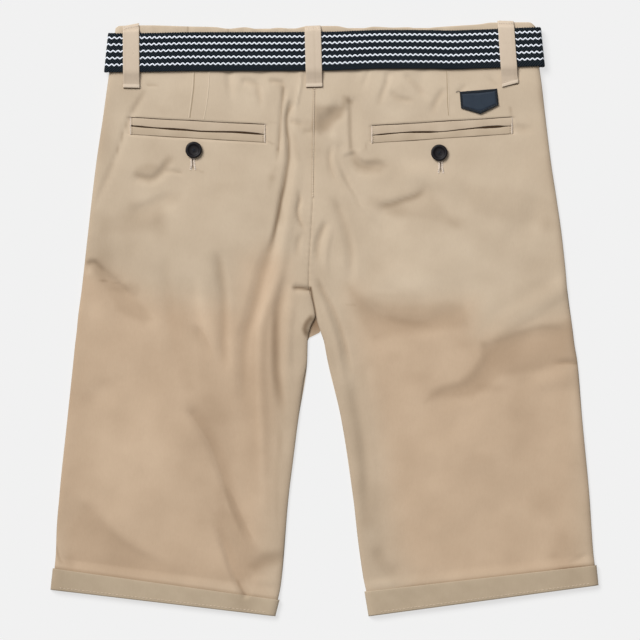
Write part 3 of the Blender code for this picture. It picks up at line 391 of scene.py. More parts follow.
# The elastic draws the back waistband into troughs, which run on into the panels.
Gather = namedtuple("Gather", "x depth reach foot_y")
GATHERS = rows_of(Gather, [
    (-150, 0.3, 7, 214), (-122, 0.4, 6, 216), (-86, 0.9, 10, 200), (-72, 0.4, 5, 214), (-57, 1.2, 10, 196),
    (-41, 0.5, 5, 214), (-30, 1, 8, 206), (28, 1.2, 10, 200), (46, 0.4, 6, 214), (62, 0.9, 10, 200),
    (74, 0.4, 5, 212), (87, 1.1, 10, 196), (106, 0.4, 7, 212), (134, 0.3, 6, 214),
])
FOOT_FADE = 30

# ---- Waistband, belt and loops ----
BAND_TOP = [
    (-189, 260), (-184.5, 263.5), (-157.5, 264), (-121.5, 263), (-99, 262.5), (-86, 261),
    (-72, 262.3), (-57, 260.2), (-41, 261.8), (-29, 261), (-13.5, 263.5), (9, 263.5),
    (28, 260.5), (45, 262.8), (62, 262), (75, 262.3), (87, 260.5), (97, 262),
    (117, 263.5), (139.5, 265), (150, 266.5), (184, 266.8), (190.5, 262),
]
BAND_SIDE = {"left": ((-192.8, 225.8), (-188, 260)), "right": ((192.6, 228.3), (189.5, 262))}
BAND_SEAMS = (-122.9, -86.9)
BAND_TONE = (0.99, 1.06)  # at its lower and its upper edge
# painted shade along the waistband's seams
BAND_SEAM_SHADE, BAND_SEAM_REACH = 0.3, 0.7
FRONT_MIDDLE_X, FRONT_BAND_TOP = -8.7, 261.5

BELT_WIDTH = 35.0
FRONT_BELT = ((-197, 239.6), (197, 244))
BELT_HALF_LENGTH = 192.5
BELT_TURN = 3.0
BELT_FLARE = 1.8
BUCKLE_X, STRAP_END_GAP = -9, 1.0
STRIPES = (0.121, 0.29, 0.463, 0.638, 0.812)  # places of the white zigzags, from the upper edge down
ZIGZAG_PITCH, ZIGZAG_RISE, ZIGZAG_WIDTH = 4.53, 0.8, 1.2
ZIGZAG_HEIGHT, ZIGZAG_SINK, ZIGZAG_POINT = 0.22, 0.05, 0.93  # a wave with a point of 1 has sharp corners
SCALLOP_REACH, SCALLOP_DEPTH = 1.2, 0.32  # the waves of the strap's edges
RIB_PITCH, PICK_PITCH, SLANT_PITCH = 2.26, 1.1, 12.1  # the webbing's ribs, its picks, and a pair of bands
# the back stretch isn't quite straight
BELT_WAVE = [
    (-197, 239.2), (-175, 239.4), (-156, 239.6), (-121, 240.3), (-31, 240.5), (6, 240.8), (23, 241.4),
    (41, 242.1), (59, 242.4), (95, 242.3), (113, 241.9), (131, 242.4), (146, 242.9), (181, 244.4),
    (197, 244.9),
]

LoopPlace = namedtuple("LoopPlace", "name top_x top_y foot_x foot_y tilt foot_tilt")
LOOP_WIDTH = 14.7
LOOP_TACKS = 9
# painted light and shade down a back loop: lighter over the waistband, darker where it slopes down below the
# belt
LOOP_LIGHT_AND_SHADE = [(-34, 0.88), (-19, 0.92), (-14, 1.0), (26, 1.06)]  # down a back loop, from the belt's middle
# painted highlight on the lip of a loop's turned end
LIP_HIGHLIGHT = 1.12
LOOP_LINE_DARK, LOOP_LINE_REACH = 0.10, 0.6  # the edge of the folded strip
LOOP_EDGE_DROP = 0.12
FRONT_LOOP_TOP, LOOP_LOWEST = 3.4, 0.62  # heights of the front panel over a front loop, and of its middle
LOOP_LINE_SHARE = {"loop_back_left": 0.15, "loop_back_centre": 0.55, "loop_back_right": 0.84}
BACK_LOOPS = rows_of(LoopPlace, [
    ("loop_back_left", -174, 263.6, -173.6, 208.4, 2.6, -0.2),
    ("loop_back_centre", -10.6, 262.6, -9.2, 209.2, 0.6, 0.2),
    ("loop_back_right", 162.8, 267, 166.8, 211, -0.4, 2.6),
])
FRONT_LOOPS = rows_of(LoopPlace, [
    ("loop_front_left", -95, 261, -95, 208, 0, 0),
    ("loop_front_right", 120, 263.2, 120, 209, 0, 0),
])

# ---- Pockets, buttons and patch ----
# Each pocket: the ends of its slit, how far its welts reach up and down at those ends, the line that the
# slit really follows, and how far it gapes, as (share from the side end, height in mm).
Pocket = namedtuple("Pocket", "side_end inner_end up down slit gape")
POCKETS = {
    "left": Pocket(
        (-174.5, 173.8), (-53.8, 166.2), (7.3, 8.5), (7.6, 7.3),
        [(-175, 173.8), (-148, 171.5), (-125, 170), (-110, 168.7), (-80, 168), (-53, 165.9)],
        [(0, 1), (0.08, 1.5), (0.18, 1), (0.32, 1.8), (0.42, 1.5), (0.52, 1.2), (0.62, 1.3), (0.72, 1.5),
         (0.84, 1.9), (0.94, 1.6), (1, 0.5)],
    ),
    "right": Pocket(
        (168.6, 173.6), (42.6, 165.4), (7.7, 8.2), (6.9, 7.1),
        [(42, 165.2), (80, 168), (100, 168.2), (125, 170.5), (140, 172), (169, 173.7)],
        [(0, 0.43), (0.05, 0.87), (0.1, 2.2), (0.16, 2.3), (0.25, 1.2), (0.4, 0.87), (0.5, 0.72), (0.6, 1.7),
         (0.68, 1.6), (0.8, 0.87), (0.92, 1.2), (1, 0.43)],
    ),
}
WINDOW_MARGIN, WINDOW_DEPTH = 0.35, 0.8  # the welts lie this deep in the panel
WINDOW_ENDS, WINDOW_EDGES = (2.0, 1.5), (0.5, 0.3)  # reach beyond the welts, and width of the slope
WELT_WALL, WELT_LIFT, WELT_CROWN = 0.8, 0.12, 0.2
# the mouth is a dark strip of painted shade under the slit
MOUTH_LIFT, MOUTH_MARGIN, MOUTH_RISE = 0.16, 0.5, 0.12
# the lines along the edges of the welts are painted shade
LINE_LIFT, LINE_RISE, LINE_SWAY, LINE_SWAYS = 0.8, 0.2, 0.2, 2.3  # of the sewn lines along the welts
# TACK_SHADOW_AWAY: how far inside a column of bar tacks its row of dots of painted shade lies
TACK_COUNT, TACK_MARGIN, TACK_SHADOW_AWAY = 17, 0.3, 1.6
TOP_LINE_MARGIN, LOW_LINE_MARGIN = 0.2, 0.15
# where the lines of painted shade above and below the welts are strong, as (share from the side end, half
# width in mm)
TOP_LINE = {
    "left": [(0, 0.3), (0.2, 0.42), (0.42, 0.3), (0.5, 0.5), (0.6, 0.28), (0.75, 0.4), (0.9, 0.5), (1, 0.3)],
    "right": [(0, 0.25), (0.15, 0.38), (0.3, 0.25), (0.45, 0.5), (0.6, 0.3), (0.8, 0.45), (1, 0.35)],
}
LOW_LINE = {
    "left": [(0, 0.1), (0.22, 0.12), (0.3, 0.3), (0.5, 0.3), (0.6, 0.14), (0.8, 0.1), (1, 0.14)],
    "right": [(0, 0.18), (0.2, 0.12), (0.5, 0.2), (0.7, 0.14), (1, 0.18)],
}
# Half of a button's outline, as (distance from its middle, height), from the dished middle round the rim.
BUTTON_PROFILE = [
    (0.02, 1.9), (2.25, 1.9), (4.125, 2.05), (4.95, 2.65), (5.55, 2.97), (6.3, 3), (7.125, 2.65), (7.5, 1.8),
    (7.2, 0.75), (6, 0.02), (0.02, 0),
]
BUTTON_THICK, BUTTON_DISH, BUTTON_TURN = 3.0, 1.9, math.radians(20)
HOLE_RADIUS, HOLE_PITCH, HOLE_SIDES = 0.95, 3.2, 20
BUTTONHOLES = {"left": ((-118.6, 144.4), (-118.3, 134.4)), "right": ((104.5, 141.6), (104.7, 131.4))}
HOLE_BARS, HOLE_SPREAD = 15, (1.3, 2.0)  # half the width of its two rows, and at its wider end
# The two crossing pairs of threads in a button's holes.
THREAD_TURNS, THREAD_REACH, THREAD_APART, THREAD_RADIUS = (65, 155), 0.72 * HOLE_PITCH, 0.25, 0.22
THREAD_ARCH = [(-1, -0.9), (-0.7, 0.3), (0, 0.5), (0.7, 0.3), (1, -0.9)]
PATCH_MIDDLE, PATCH_WIDTH = (139.2, 195), 33.8
PATCH_SIDE, PATCH_POINT = 15, 21.5
PATCH_TURN = math.radians(4.7)
PATCH_WALL, PATCH_LIFT = 1.3, 0.15
PATCH_BORDER, BORDER_DEPTH, BORDER_REACH = 1.9, 0.28, 0.5
PATCH_EDGE_DARK, PATCH_EDGE, PATCH_EDGE_FADE = 0.7, 1.3, 0.8
LOOSE_THREAD = [(1, -1, 1.6), (-0.8, 0.5, 1.7), (-2.4, 0.2, 1.1), (-3.2, -0.9, 0.7)]  # from a corner
LOOSE_THREAD_RADIUS = 0.24

# ---- Bars and seams ----
# A bar of thread: how far it reaches from its middle in x and y, how high it arches, and its radius.
Bar = namedtuple("Bar", "reach rise radius")
LOOP_TOP_BAR, LOOP_FOOT_BAR = Bar((0.3, 0.6), 0.25, 0.3), Bar((0.5, 0), 0.25, 0.2)
LOOP_SHADE_BAR = Bar((0, 0.5), 0.22, 0.2)
# the dots of painted shade beside a pocket's bar tacks are short bars
POCKET_BAR, TACK_SHADOW_DOT = Bar((0.65, 0.1), 0.25, 0.42), Bar((0, 0.4), 0.2, 0.26)
BUTTONHOLE_BAR = Bar((0.95, -0.15), 0.3, 0.36)
# Half the width of a strand that lies on the cloth, and how far it stands up.
LOOP_SHADE_STRAND, POCKET_EDGE_STRAND = (0.5, 0.2), (0.35, 0.1)
DART_RIDGE, DART_FURROW_SHADE, DART_LIFT = (0.5, 0.3), (0.42, 0.12), 0.02
# A row of stitches: how long each is, the gap after it, its radius, and how deep it lies in the cloth.
Stitch = namedtuple("Stitch", "length gap radius sink")
SEAM_STITCH, CUFF_STITCH = Stitch(1.25, 1.0, 0.5, 0.1), Stitch(2.2, 1.2, 0.32, 0.1)
PATCH_STITCH, FRONT_STITCH = Stitch(1.9, 0.7, 0.27, 0.1), Stitch(2.4, 1.0, 0.14, 0.0)
SEAM_STITCH_AWAY, SEAM_STITCH_LIFT = 1.2, 0.15
CUFF_STITCH_INSET, CUFF_STITCH_UP = 6, 2.3
FRONT_STITCH_INSETS = (2.0, 6.5)  # from the edge of a slanted pocket
SEAM_FOOT, SEAM_FADE = 20, 12
# painted shade in the groove of the centre-back seam: where it starts, how it fades in, and how it deepens
# beside each stitch
SEAM_SHADE_FOOT, SEAM_SHADE_FADE = 26, 8
SEAM_DEPTH, SEAM_REACH = 0.4, 0.9
SEAM_BEAT, SEAM_BEAT_PITCH = 0.5, 2.3  # the seam is darker beside each stitch
PUCKER_HEIGHT, PUCKER_PITCH, PUCKER_REACH = 0.14, 6.1, 4
PUCKER_SWAY, PUCKER_SWAY_PITCH = 0.8, 17  # the puckers are closer together here and there
# each dart's ridge is a paler twill, a painted highlight, and its furrow is a strand of painted shade
DARTS = [  # each with the side of its furrow, or 0 with none
    ([(-117.8, 222), (-118.5, 208), (-120, 196), (-122, 181)], 1),
    ([(-103.5, 222), (-104.1, 210), (-105.6, 196), (-108.5, 180)], 0),
    ([(111, 223), (111.3, 210), (111.7, 196), (112.6, 183)], -1),
]
# Flat width, length and area in metres of what shows of each sheet, as cut, with no seam allowance.
Cut = namedtuple("Cut", "width length area")

FLY_STITCH = [(-42, 224), (-41, 180), (-39, 150), (-34, 128), (-26, 112), (-14, 103), (-8, 101)]

# painted shade in the groove of the centre-back seam, by height up the seam
SEAM_SHADE = [
    (30, 0.07), (114, 0.09), (122, 0.14), (155, 0.17), (168, 0.28), (180, 0.18), (190, 0.15), (204, 0.25),
]
CUFF_TONE = {
    "left": [(-245, 0.82), (-232, 0.93), (-200, 1), (-90, 1), (-74, 0.86), (-60, 1), (-44, 1.06)],
    "right": [(37, 0.99), (60, 0.97), (150, 0.96), (205, 0.98), (222, 0.88), (236, 0.96), (245, 0.85)],
}
# painted highlight along the upper edge of a cuff: its share and its reach in rows
CUFF_EDGE_HIGHLIGHT, CUFF_EDGE_ROWS = 0.10, 3.0
CUFF_SHADOW_REACH = 1.6
CUFF_SHADOW = {
    "left": [(-243, 0.4), (-225, 0.3), (-100, 0.34), (-60, 0.3), (-42, 0.2)],
    "right": [
        (40, 0.05), (62, 0.08), (80, 0.3), (140, 0.26), (205, 0.3), (215, 0.55), (230, 0.55), (243, 0.3),
    ],
}
# The front lies face down, so it has only faint ripples, creases of painted shade, the stitches of its fly
# and the slanted edges of its pockets, drawn as strands of painted shade.
FRONT_RIPPLE_PITCH, FRONT_RIPPLE_REACH, FRONT_RIPPLE_WIDTH, FRONT_RIPPLE_HEIGHT = 90.0, 20, 230, 0.2
FRONT_UNDERSIDE = [(99, 0.12), (150, 0.12), (180, 1.3), (208, 3.7), (224, 4.3)]
FRONT_CREASE_SHADES = [Shade(0.10, 9, 5, 0.3, 0.4, line) for line in (
    [(-205, 62), (-150, 30), (-96, 22)],
    [(-30, -18), (-82, -8), (-126, -32)],
    [(38, 12), (92, -10), (156, 2)],
    [(-58, -204), (-92, -150), (-124, -88)],
    [(28, -42), (47, -112), (62, -186)],
    [(-22, 92), (-64, 72), (-118, 84)],
    [(58, 152), (124, 108), (196, 92)],
    [(-8, 20), (-30, 0), (-62, -44)],
    [(-6, 16), (22, -12), (54, -64)],
)]
POCKET_EDGE = [(146, 224), (158, 190), (174, 150), (193, 112), (204, 99)]
CROTCH_GAP, CROTCH_GAP_REACH, CROTCH_GAP_DARK = (-9, -2), 26.0, 0.6  # the front shows here, deep in shade

# Where the cloth has a warmer tint: the legs below these outlines.
WARM_LEFT = [
    (-223, 51), (-184, 35), (-157, 22), (-81, 13), (-71, 51), (-51, 62), (-36, 51), (-33, 17), (-38, -37),
    (-43, -109), (-50, -181), (-56, -245), (-240, -240), (-246, -145), (-238, -73), (-230, -1),
]
WARM_RIGHT = [
    (26, 24), (41, 14), (131, 13), (140, -13), (226, -1), (232, -91), (232, -240), (84, -238), (66, -214),
    (56, -163), (46, -91), (29, -19),
]
WARM_BLUR = 20.0

# ---- Fineness ----
ROW_PITCH = 1.9
BACK_COLUMNS, FRONT_COLUMNS = 100, 40
BAND_PITCH = 1.2
BELT_PITCH = 0.6
TURN_WIDTH = 5.0
TURN_POINTS = 7
TURN_FOOT = 0.35  # the share of its height at which the turn of an edge starts to be round
SHARP_STEP = 0.15  # how far from a pocket's window the rows beside its edge lie
COLUMN_LEAN = 0.3  # how much closer the columns lie towards the inner edge of a leg
FRONT_ROW_PITCH = 3.0
FRONT_BAND_COLUMNS = 30
LINE_PITCH, SEAM_PITCH, DART_PITCH, THREAD_PITCH = 4.0, 2.0, 1.5, 0.5
LOOP_ROW_PITCH = 0.9
POCKET_STEPS = 121
BUTTON_STEPS, BUTTON_PITCH = 64, 0.5
# The pitch across a strip and the width of its round edges: in mm, or as shares of the strip's width.
BELT_ACROSS, LOOP_ACROSS = (1.45, 1.1), (1.1, 0.7)
BAND_DOWN, CUFF_DOWN, WELT_DOWN = (0.045, 0.03), (0.085, 0.05), (0.11, 0.08)
PATCH_ACROSS, PATCH_DOWN = (0.02, 0.03), (0.03, 0.045)
FOLD_ANGLE, SOFT_FOLD_ANGLE, BUTTON_FOLD_ANGLE = 50.0, 66.0, 40.0  # sharper folds than these show an edge

# Small waves of height or tone: how many, their shortest and longest length, the height or share for
# each mm of their length, and the seed of their random draws.
Ripple = namedtuple("Ripple", "count shortest longest steepness seed")
CLOTH_WAVES = Ripple(18, 26, 80, 0.0011, 11)
CLOTH_RIPPLES = Ripple(14, 9, 18, 0.0006, 12)
BAND_RIPPLES = Ripple(10, 6, 16, 0.0012, 14)
BAND_MOTTLE = Ripple(10, 8, 30, 0.0006, 15)
CLOTH_MOTTLE = Ripple(12, 16, 60, 0.00022, 16)
WELT_MOTTLE = Ripple(8, 12, 30, 0.0005, 18)
CUFF_MOTTLE = Ripple(8, 10, 40, 0.0004, 20)

# ---- Looks, light and camera ----
# the painted shade of the folds is a deeper brown: powers for red, green and blue
SHADE_POWERS = (0.87, 1.0, 1.13)  # red, green and blue: the folds are a deeper brown
WEAVE_PITCH = 0.75
# painted shadow of the belt on the cloth just below it: its share and reach
UNDER_BELT_SHADOW, UNDER_BELT_REACH = 0.22, 2.2
# painted shade where the cloth turns down at the side seam and at the inner edge of a leg
EDGE_DARK = {"side": [(0.10, 3.5), (0.04, 18)], "inner": [(0.05, 4.2), (0.05, 14)]}  # share, reach
FLOOR_HALF, FLOOR_DROP = 4.0, 0.0002  # in metres, as are the camera's
FLOOR_COLOUR = (241, 241, 241)
FLOOR_GLOW = 0.75  # the shorts lie on a lit table, so they cast hardly any shadow on it
SKY = 0.25
KEY, KEY_SIZE, KEY_FROM = 2.95, 30, (-0.42, 0.50, 0.87)
CAMERA_HEIGHT, VIEW_WIDTH, VIEW_MIDDLE = 8.0, 0.576, (-0.00405, -0.0009)
SENSOR_WIDTH = 36.0


# ---- Numbers ----
def between(a, b, share):
    return a + (b - a) * share


def smooth(share):
    share = np.clip(share, 0.0, 1.0)
    return share * share * (3 - 2 * share)


def along(table, x):
    """y at x on the line through a table of (x, y)."""
    return np.interp(x, [p[0] for p in table], [p[1] for p in table])


def curve_through(knots, values, at):
    """Values at `at` on a smooth curve through the knots, which never overshoots them."""
    knots, values, at = (np.asarray(v, float) for v in (knots, values, at))
    step = np.diff(knots)
    slope = np.diff(values) / step
    tangent = np.zeros(len(knots))
    tangent[0], tangent[-1] = slope[0], slope[-1]
    for k in range(1, len(knots) - 1):
        if slope[k - 1] * slope[k] > 0:
            before, after = 2 * step[k] + step[k - 1], step[k] + 2 * step[k - 1]
            tangent[k] = (before + after) / (before / slope[k - 1] + after / slope[k])
    i = np.clip(np.searchsorted(knots, at, side="right") - 1, 0, len(step) - 1)
    t, h = (at - knots[i]) / step[i], step[i]
    return (
        (1 + 2 * t) * (1 - t) ** 2 * values[i]
        + t * (1 - t) ** 2 * h * tangent[i]
        + t * t * (3 - 2 * t) * values[i + 1]
        + t * t * (t - 1) * h * tangent[i + 1]
    )


def walked(points):
    """Length along a line of points up to each of them."""
    points = np.asarray(points, float)
    return np.concatenate([[0], np.cumsum(np.linalg.norm(np.diff(points, axis=0), axis=1))])


def smooth_line(points, pitch):
    """The smooth line through given points, with a point every pitch."""
    points = np.asarray(points, float)
    at = walked(points)
    places = np.linspace(0, at[-1], max(2, int(at[-1] / pitch) + 1))
    return np.stack([curve_through(at, points[:, k], places) for k in range(points.shape[1])], axis=1)


def line_frame(x, y, line):
    """Distance from the line, positive on its left, and the share of its length at the foot."""
    line = np.asarray(line, float)
    lengths = np.linalg.norm(np.diff(line, axis=0), axis=1)
    starts = walked(line)
    best = np.full(x.shape, np.inf)
    signed, at = np.zeros(x.shape), np.zeros(x.shape)
    for (ax, ay), (bx, by), length, start in zip(line, line[1:], lengths, starts):
        ux, uy = (bx - ax) / length, (by - ay) / length
        s = np.clip((x - ax) * ux + (y - ay) * uy, 0, length)
        dx, dy = x - ax - s * ux, y - ay - s * uy
        gap = np.hypot(dx, dy)
        nearer = gap < best
        best = np.where(nearer, gap, best)
        signed = np.where(nearer, np.where(ux * dy - uy * dx >= 0, gap, -gap), signed)
        at = np.where(nearer, start + s, at)
    return signed, at / starts[-1]


def hump(share):
    """1 at 0, falling smoothly to 0 at 1."""
    return 0.5 + 0.5 * np.cos(math.pi * np.clip(share, 0, 1))


def bell(away, reach):
    """1 at 0, falling smoothly on both sides."""
    return np.exp(-((away / reach) ** 2))


def unit(vectors):
    """The vectors with a length of 1."""
    return vectors / np.maximum(np.linalg.norm(vectors, axis=-1, keepdims=True), 1e-12)


def with_height(xy, z):
    """The (x, y) points with the heights z."""
    return np.concatenate([xy, np.broadcast_to(z, xy.shape[:-1])[..., None]], axis=-1)


def band(x, y, mark):
    """1 along the line of a crease or shade and 0 outside its reaches, with its soft ends."""
    reach = max(mark.left, mark.right)
    line = smooth_line(mark.line, LINE_PITCH)
    low, high = line.min(axis=0) - reach, line.max(axis=0) + reach
    near = (x > low[0]) & (x < high[0]) & (y > low[1]) & (y < high[1])
    strength = np.zeros(x.shape)
    if near.any():
        signed, at = line_frame(x[near], y[near], line)
        share = np.where(signed >= 0, signed / mark.left, -signed / mark.right)
        strength[near] = smooth(at / mark.start) * smooth((1 - at) / mark.end) * hump(share)
    return strength


def gather_height(x, y):
    height = np.zeros(np.shape(x))
    for gather in GATHERS:
        fade = smooth((y - gather.foot_y) / FOOT_FADE)
        height -= gather.depth * fade * hump(np.abs(x - gather.x) / gather.reach)
    return height


def ripples(x, y, kind):
    """Small waves in all directions, as cloth has that isn't quite flat."""
    draw = np.random.default_rng(kind.seed)
    height = np.zeros(np.shape(x))
    for _ in range(kind.count):
        turn, phase = draw.uniform(0, math.pi), draw.uniform(0, 2 * math.pi)
        wave = kind.shortest * (kind.longest / kind.shortest) ** draw.uniform(0, 1)
        place = x * math.cos(turn) + y * math.sin(turn)
        height += kind.steepness * wave * np.sin(2 * math.pi * place / wave + phase)
    return height


def cloth_height(x, y):
    """What creases, gathers and ripples add to the height of the back panels."""
    height = gather_height(x, y)
    for crease in CREASES:
        height += crease.height * band(x, y, crease)
    return height + ripples(x, y, CLOTH_WAVES) + ripples(x, y, CLOTH_RIPPLES)


def cloth_tone(x, y):
    """Painted light and shade of the back panels' cloth, with its mottle, 1 on the seat."""
    tone = along(LIGHT_FALLOFF_DOWN, y)
    for shade in SHADES:
        tone = tone * (1 - shade.share * band(x, y, shade))
    for cloud in CLOUDS:
        away = np.hypot((x - cloud.x) / cloud.reach_x, (y - cloud.y) / cloud.reach_y)
        tone = tone * (1 - cloud.share * hump(away))
    for region in REGIONS:
        tone = tone * (1 - region.share * inside(x, y, region.outline, region.blur))
    # the belt's painted shadow on the cloth just below it
    below_belt = back_belt_y(x) - BELT_WIDTH / 2 - y
    tone = tone * (1 - UNDER_BELT_SHADOW * bell(below_belt, UNDER_BELT_REACH))
    return tone * (1 + ripples(x, y, CLOTH_MOTTLE))


def inside(x, y, outline, blur):
    """1 inside a closed outline and 0 outside, with a soft border."""
    closed = outline + outline[:1]
    signed, _ = line_frame(x, y, closed)
    odd = np.zeros(x.shape, bool)
    for (ax, ay), (bx, by) in zip(closed, closed[1:]):
        crosses = (ay > y) != (by > y)
        odd ^= crosses & (x < ax + (y - ay) * (bx - ax) / (by - ay if by != ay else 1))
    return smooth(0.5 + np.where(odd, 1, -1) * np.abs(signed) / (2 * blur))


# ---- Meshes ----
def linked(name, data):
    """A new object in the scene."""
    made = bpy.data.objects.new(name, data)
    bpy.context.scene.collection.objects.link(made)
    return made


def finished(mesh, material, sharp):
    """The mesh with its material, smooth but for folds sharper than the angle."""
    mesh.shade_smooth()
    mesh.set_sharp_from_angle(angle=math.radians(sharp))
    mesh.materials.clear()
    mesh.materials.append(material)


def dressed(made, replaces=None):
    """The object on the part's body and the node it takes the place of."""
    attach(made, BODY)
    if replaces:
        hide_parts(replaces)
    return made


class Pile:
    """Gathers closed shapes in millimetres, and builds them as one object."""

    def __init__(self):
        self.points, self.faces, self.count = [], [], 0
        self.values = {}

    def add(self, points, faces, **values):
        points = np.asarray(points, float).reshape(-1, 3)
        self.points.append(points)
        self.faces += [[k + self.count for k in face] for face in faces]
        for name, value in {"warm": 0.0, "tone": 1.0, **values}.items():
            value = np.broadcast_to(np.asarray(value, float), np.shape(value) or len(points))
            self.values.setdefault(name, []).append(value.reshape(-1))
        self.count += len(points)

    def build(self, name, material, slot="twill", replaces=None, sharp=FOLD_ANGLE):
        mesh = bpy.data.meshes.new(name)
        mesh.from_pydata(np.concatenate(self.points) * MM, [], self.faces)
        for value_name, parts in self.values.items():
            attribute = mesh.attributes.new(value_name, "FLOAT", "POINT")
            attribute.data.foreach_set("value", np.concatenate(parts).astype(np.float32))
        finished(mesh, material, sharp)
        return dressed(linked(name, mesh), replaces)


def grid_normals(grid):
    return unit(np.cross(np.gradient(grid, axis=0), np.gradient(grid, axis=1)))


def shell(pile, grid, thickness, **values):
    """A closed wall on both sides of a grid of points. thickness is a number, or one for each point."""
    grid = np.asarray(grid, float)
    rows, columns = grid.shape[:2]
    offset = grid_normals(grid) * (np.broadcast_to(thickness, (rows, columns)) / 2)[..., None]
    points = np.concatenate([(grid + offset).reshape(-1, 3), (grid - offset).reshape(-1, 3)])
    number = np.arange(rows * columns).reshape(rows, columns)
    corners = [number[:-1, :-1], number[1:, :-1], number[1:, 1:], number[:-1, 1:]]
    top = np.stack(corners, axis=-1).reshape(-1, 4)
    low = top[:, ::-1] + rows * columns
    rim = np.concatenate([number[:, 0], number[-1, 1:], number[-2::-1, -1], number[0, -2::-1]])
    rim, after = rim[:-1], rim[1:]
    walls = np.stack([rim, rim + rows * columns, after + rows * columns, after], axis=-1)
    faces = np.concatenate([top, low, walls]).tolist()
    both = {name: np.broadcast_to(value, (2, rows, columns)).reshape(-1) for name, value in values.items()}
    pile.add(points, faces, **both)


def cloth_piece(node, grid, thickness, material, sharp=FOLD_ANGLE, **values):
    """A closed wall of twill that takes the place of a node."""
    pile = Pile()
    shell(pile, grid, thickness, **values)
    return pile.build(f"{node}_cloth", material, replaces=node, sharp=sharp)


def strand(pile, path, side, up, profile):
    """A closed strand along a path. profile has the corners of its section, in shares of side and up."""
    rings = np.stack([path + side * u + up * w for u, w in profile], axis=1)
    number = np.arange(rings.shape[0] * rings.shape[1]).reshape(rings.shape[:2])
    a, b = number[:-1], number[1:]
    faces = np.stack([a, np.roll(a, -1, 1), np.roll(b, -1, 1), b], axis=-1).reshape(-1, 4).tolist()
    faces += [number[0, ::-1].tolist(), number[-1].tolist()]
    pile.add(rings, faces)


def tube(pile, path, radius, sides=6, tip=0.35, flat=1.0):
    """A round thread along a path. Its ends narrow to tip times the radius."""
    path = np.asarray(path, float)
    heading = unit(np.gradient(path, axis=0))
    side = unit(np.cross(heading, UP))
    up = np.cross(side, heading) * flat
    width = np.full((len(path), 1), float(radius))
    width[[0, -1]] = radius * tip
    angle = np.arange(sides) * 2 * math.pi / sides
    strand(pile, path, side * width, up * width, list(zip(np.cos(angle), np.sin(angle))))


def lay_bar(pile, bar, x, y, z):
    """A bar of thread with its middle at (x, y) and its ends at the height z."""
    dx, dy = bar.reach
    tube(pile, [(x - dx, y - dy, z), (x, y, z + bar.rise), (x + dx, y + dy, z)], bar.radius)


def ribbon(pile, path, up, half_width, rise):
    """A low half-round strand along a path on a surface. up is its normal, or one for each point."""
    side = np.cross(unit(np.gradient(path, axis=0)), up)
    profile = [(-1, -0.4), (-0.75, 0.55), (0, 1), (0.75, 0.55), (1, -0.4)]
    strand(pile, path, side * half_width, up * rise, profile)


def flat_strip(pile, path, half_width, rise):
    """A flat strip along X, with a half width for each point of its path."""
    side = np.array((0.0, 1.0, 0.0)) * half_width[:, None]
    profile = [(1, -0.5), (0.8, 0.5), (-0.8, 0.5), (-1, -0.5)]
    strand(pile, path, side, UP * rise, profile)


def rounded(length, pitch, radius):
    """Places across a strip and the share of its thickness there, so that its long edges are round."""
    edge = np.array([0, 0.25, 0.6, 1.0]) * radius
    share = np.array([0.35, 0.72, 0.94, 1.0])
    middle = np.linspace(radius, length - radius, max(2, int(length / pitch)))[1:-1]
    places = np.concatenate([edge, middle, length - edge[::-1]])
    return places, np.concatenate([share, np.ones(len(middle)), share[::-1]])


def surface_of(*made):
    """The highest point of the objects at (x, y) in millimetres, as a function."""
    graph = bpy.context.evaluated_depsgraph_get()
    trees = [BVHTree.FromObject(each, graph) for each in made]

    def height(x, y):
        found = [tree.ray_cast(Vector((x * MM, y * MM, 1.0)), Vector((0, 0, -1)))[0] for tree in trees]
        return max((hit.z / MM for hit in found if hit), default=0.0)

    return height


def laid_on(height, line, lift):
    """(x, y) points with the height of what is under them added."""
    return np.array([(x, y, height(x, y) + lift) for x, y in line])


def stitches(pile, line, height, stitch):
    """A row of thread dashes on a surface."""
    line, at = np.asarray(line), walked(line)
    step = stitch.length + stitch.gap
    for k in range(int(at[-1] / step)):
        places = (k + 0.5) * step + np.array([-0.5, -0.25, 0.25, 0.5]) * stitch.length
        xy = np.stack([np.interp(places, at, line[:, n]) for n in (0, 1)], axis=1)
        path = laid_on(height, xy, stitch.radius - stitch.sink)
        path[[0, -1], 2] -= stitch.radius * 0.9
        tube(pile, path, stitch.radius, tip=0.6)


# ---- Materials ----
def srgb(red, green, blue):
    """A colour given as it looks on a screen, from 0 to 255, as Blender's linear values."""
    def linear(value):
        value /= 255
        return value / 12.92 if value <= 0.04045 else ((value + 0.055) / 1.055) ** 2.4
    return (linear(red), linear(green), linear(blue), 1.0)


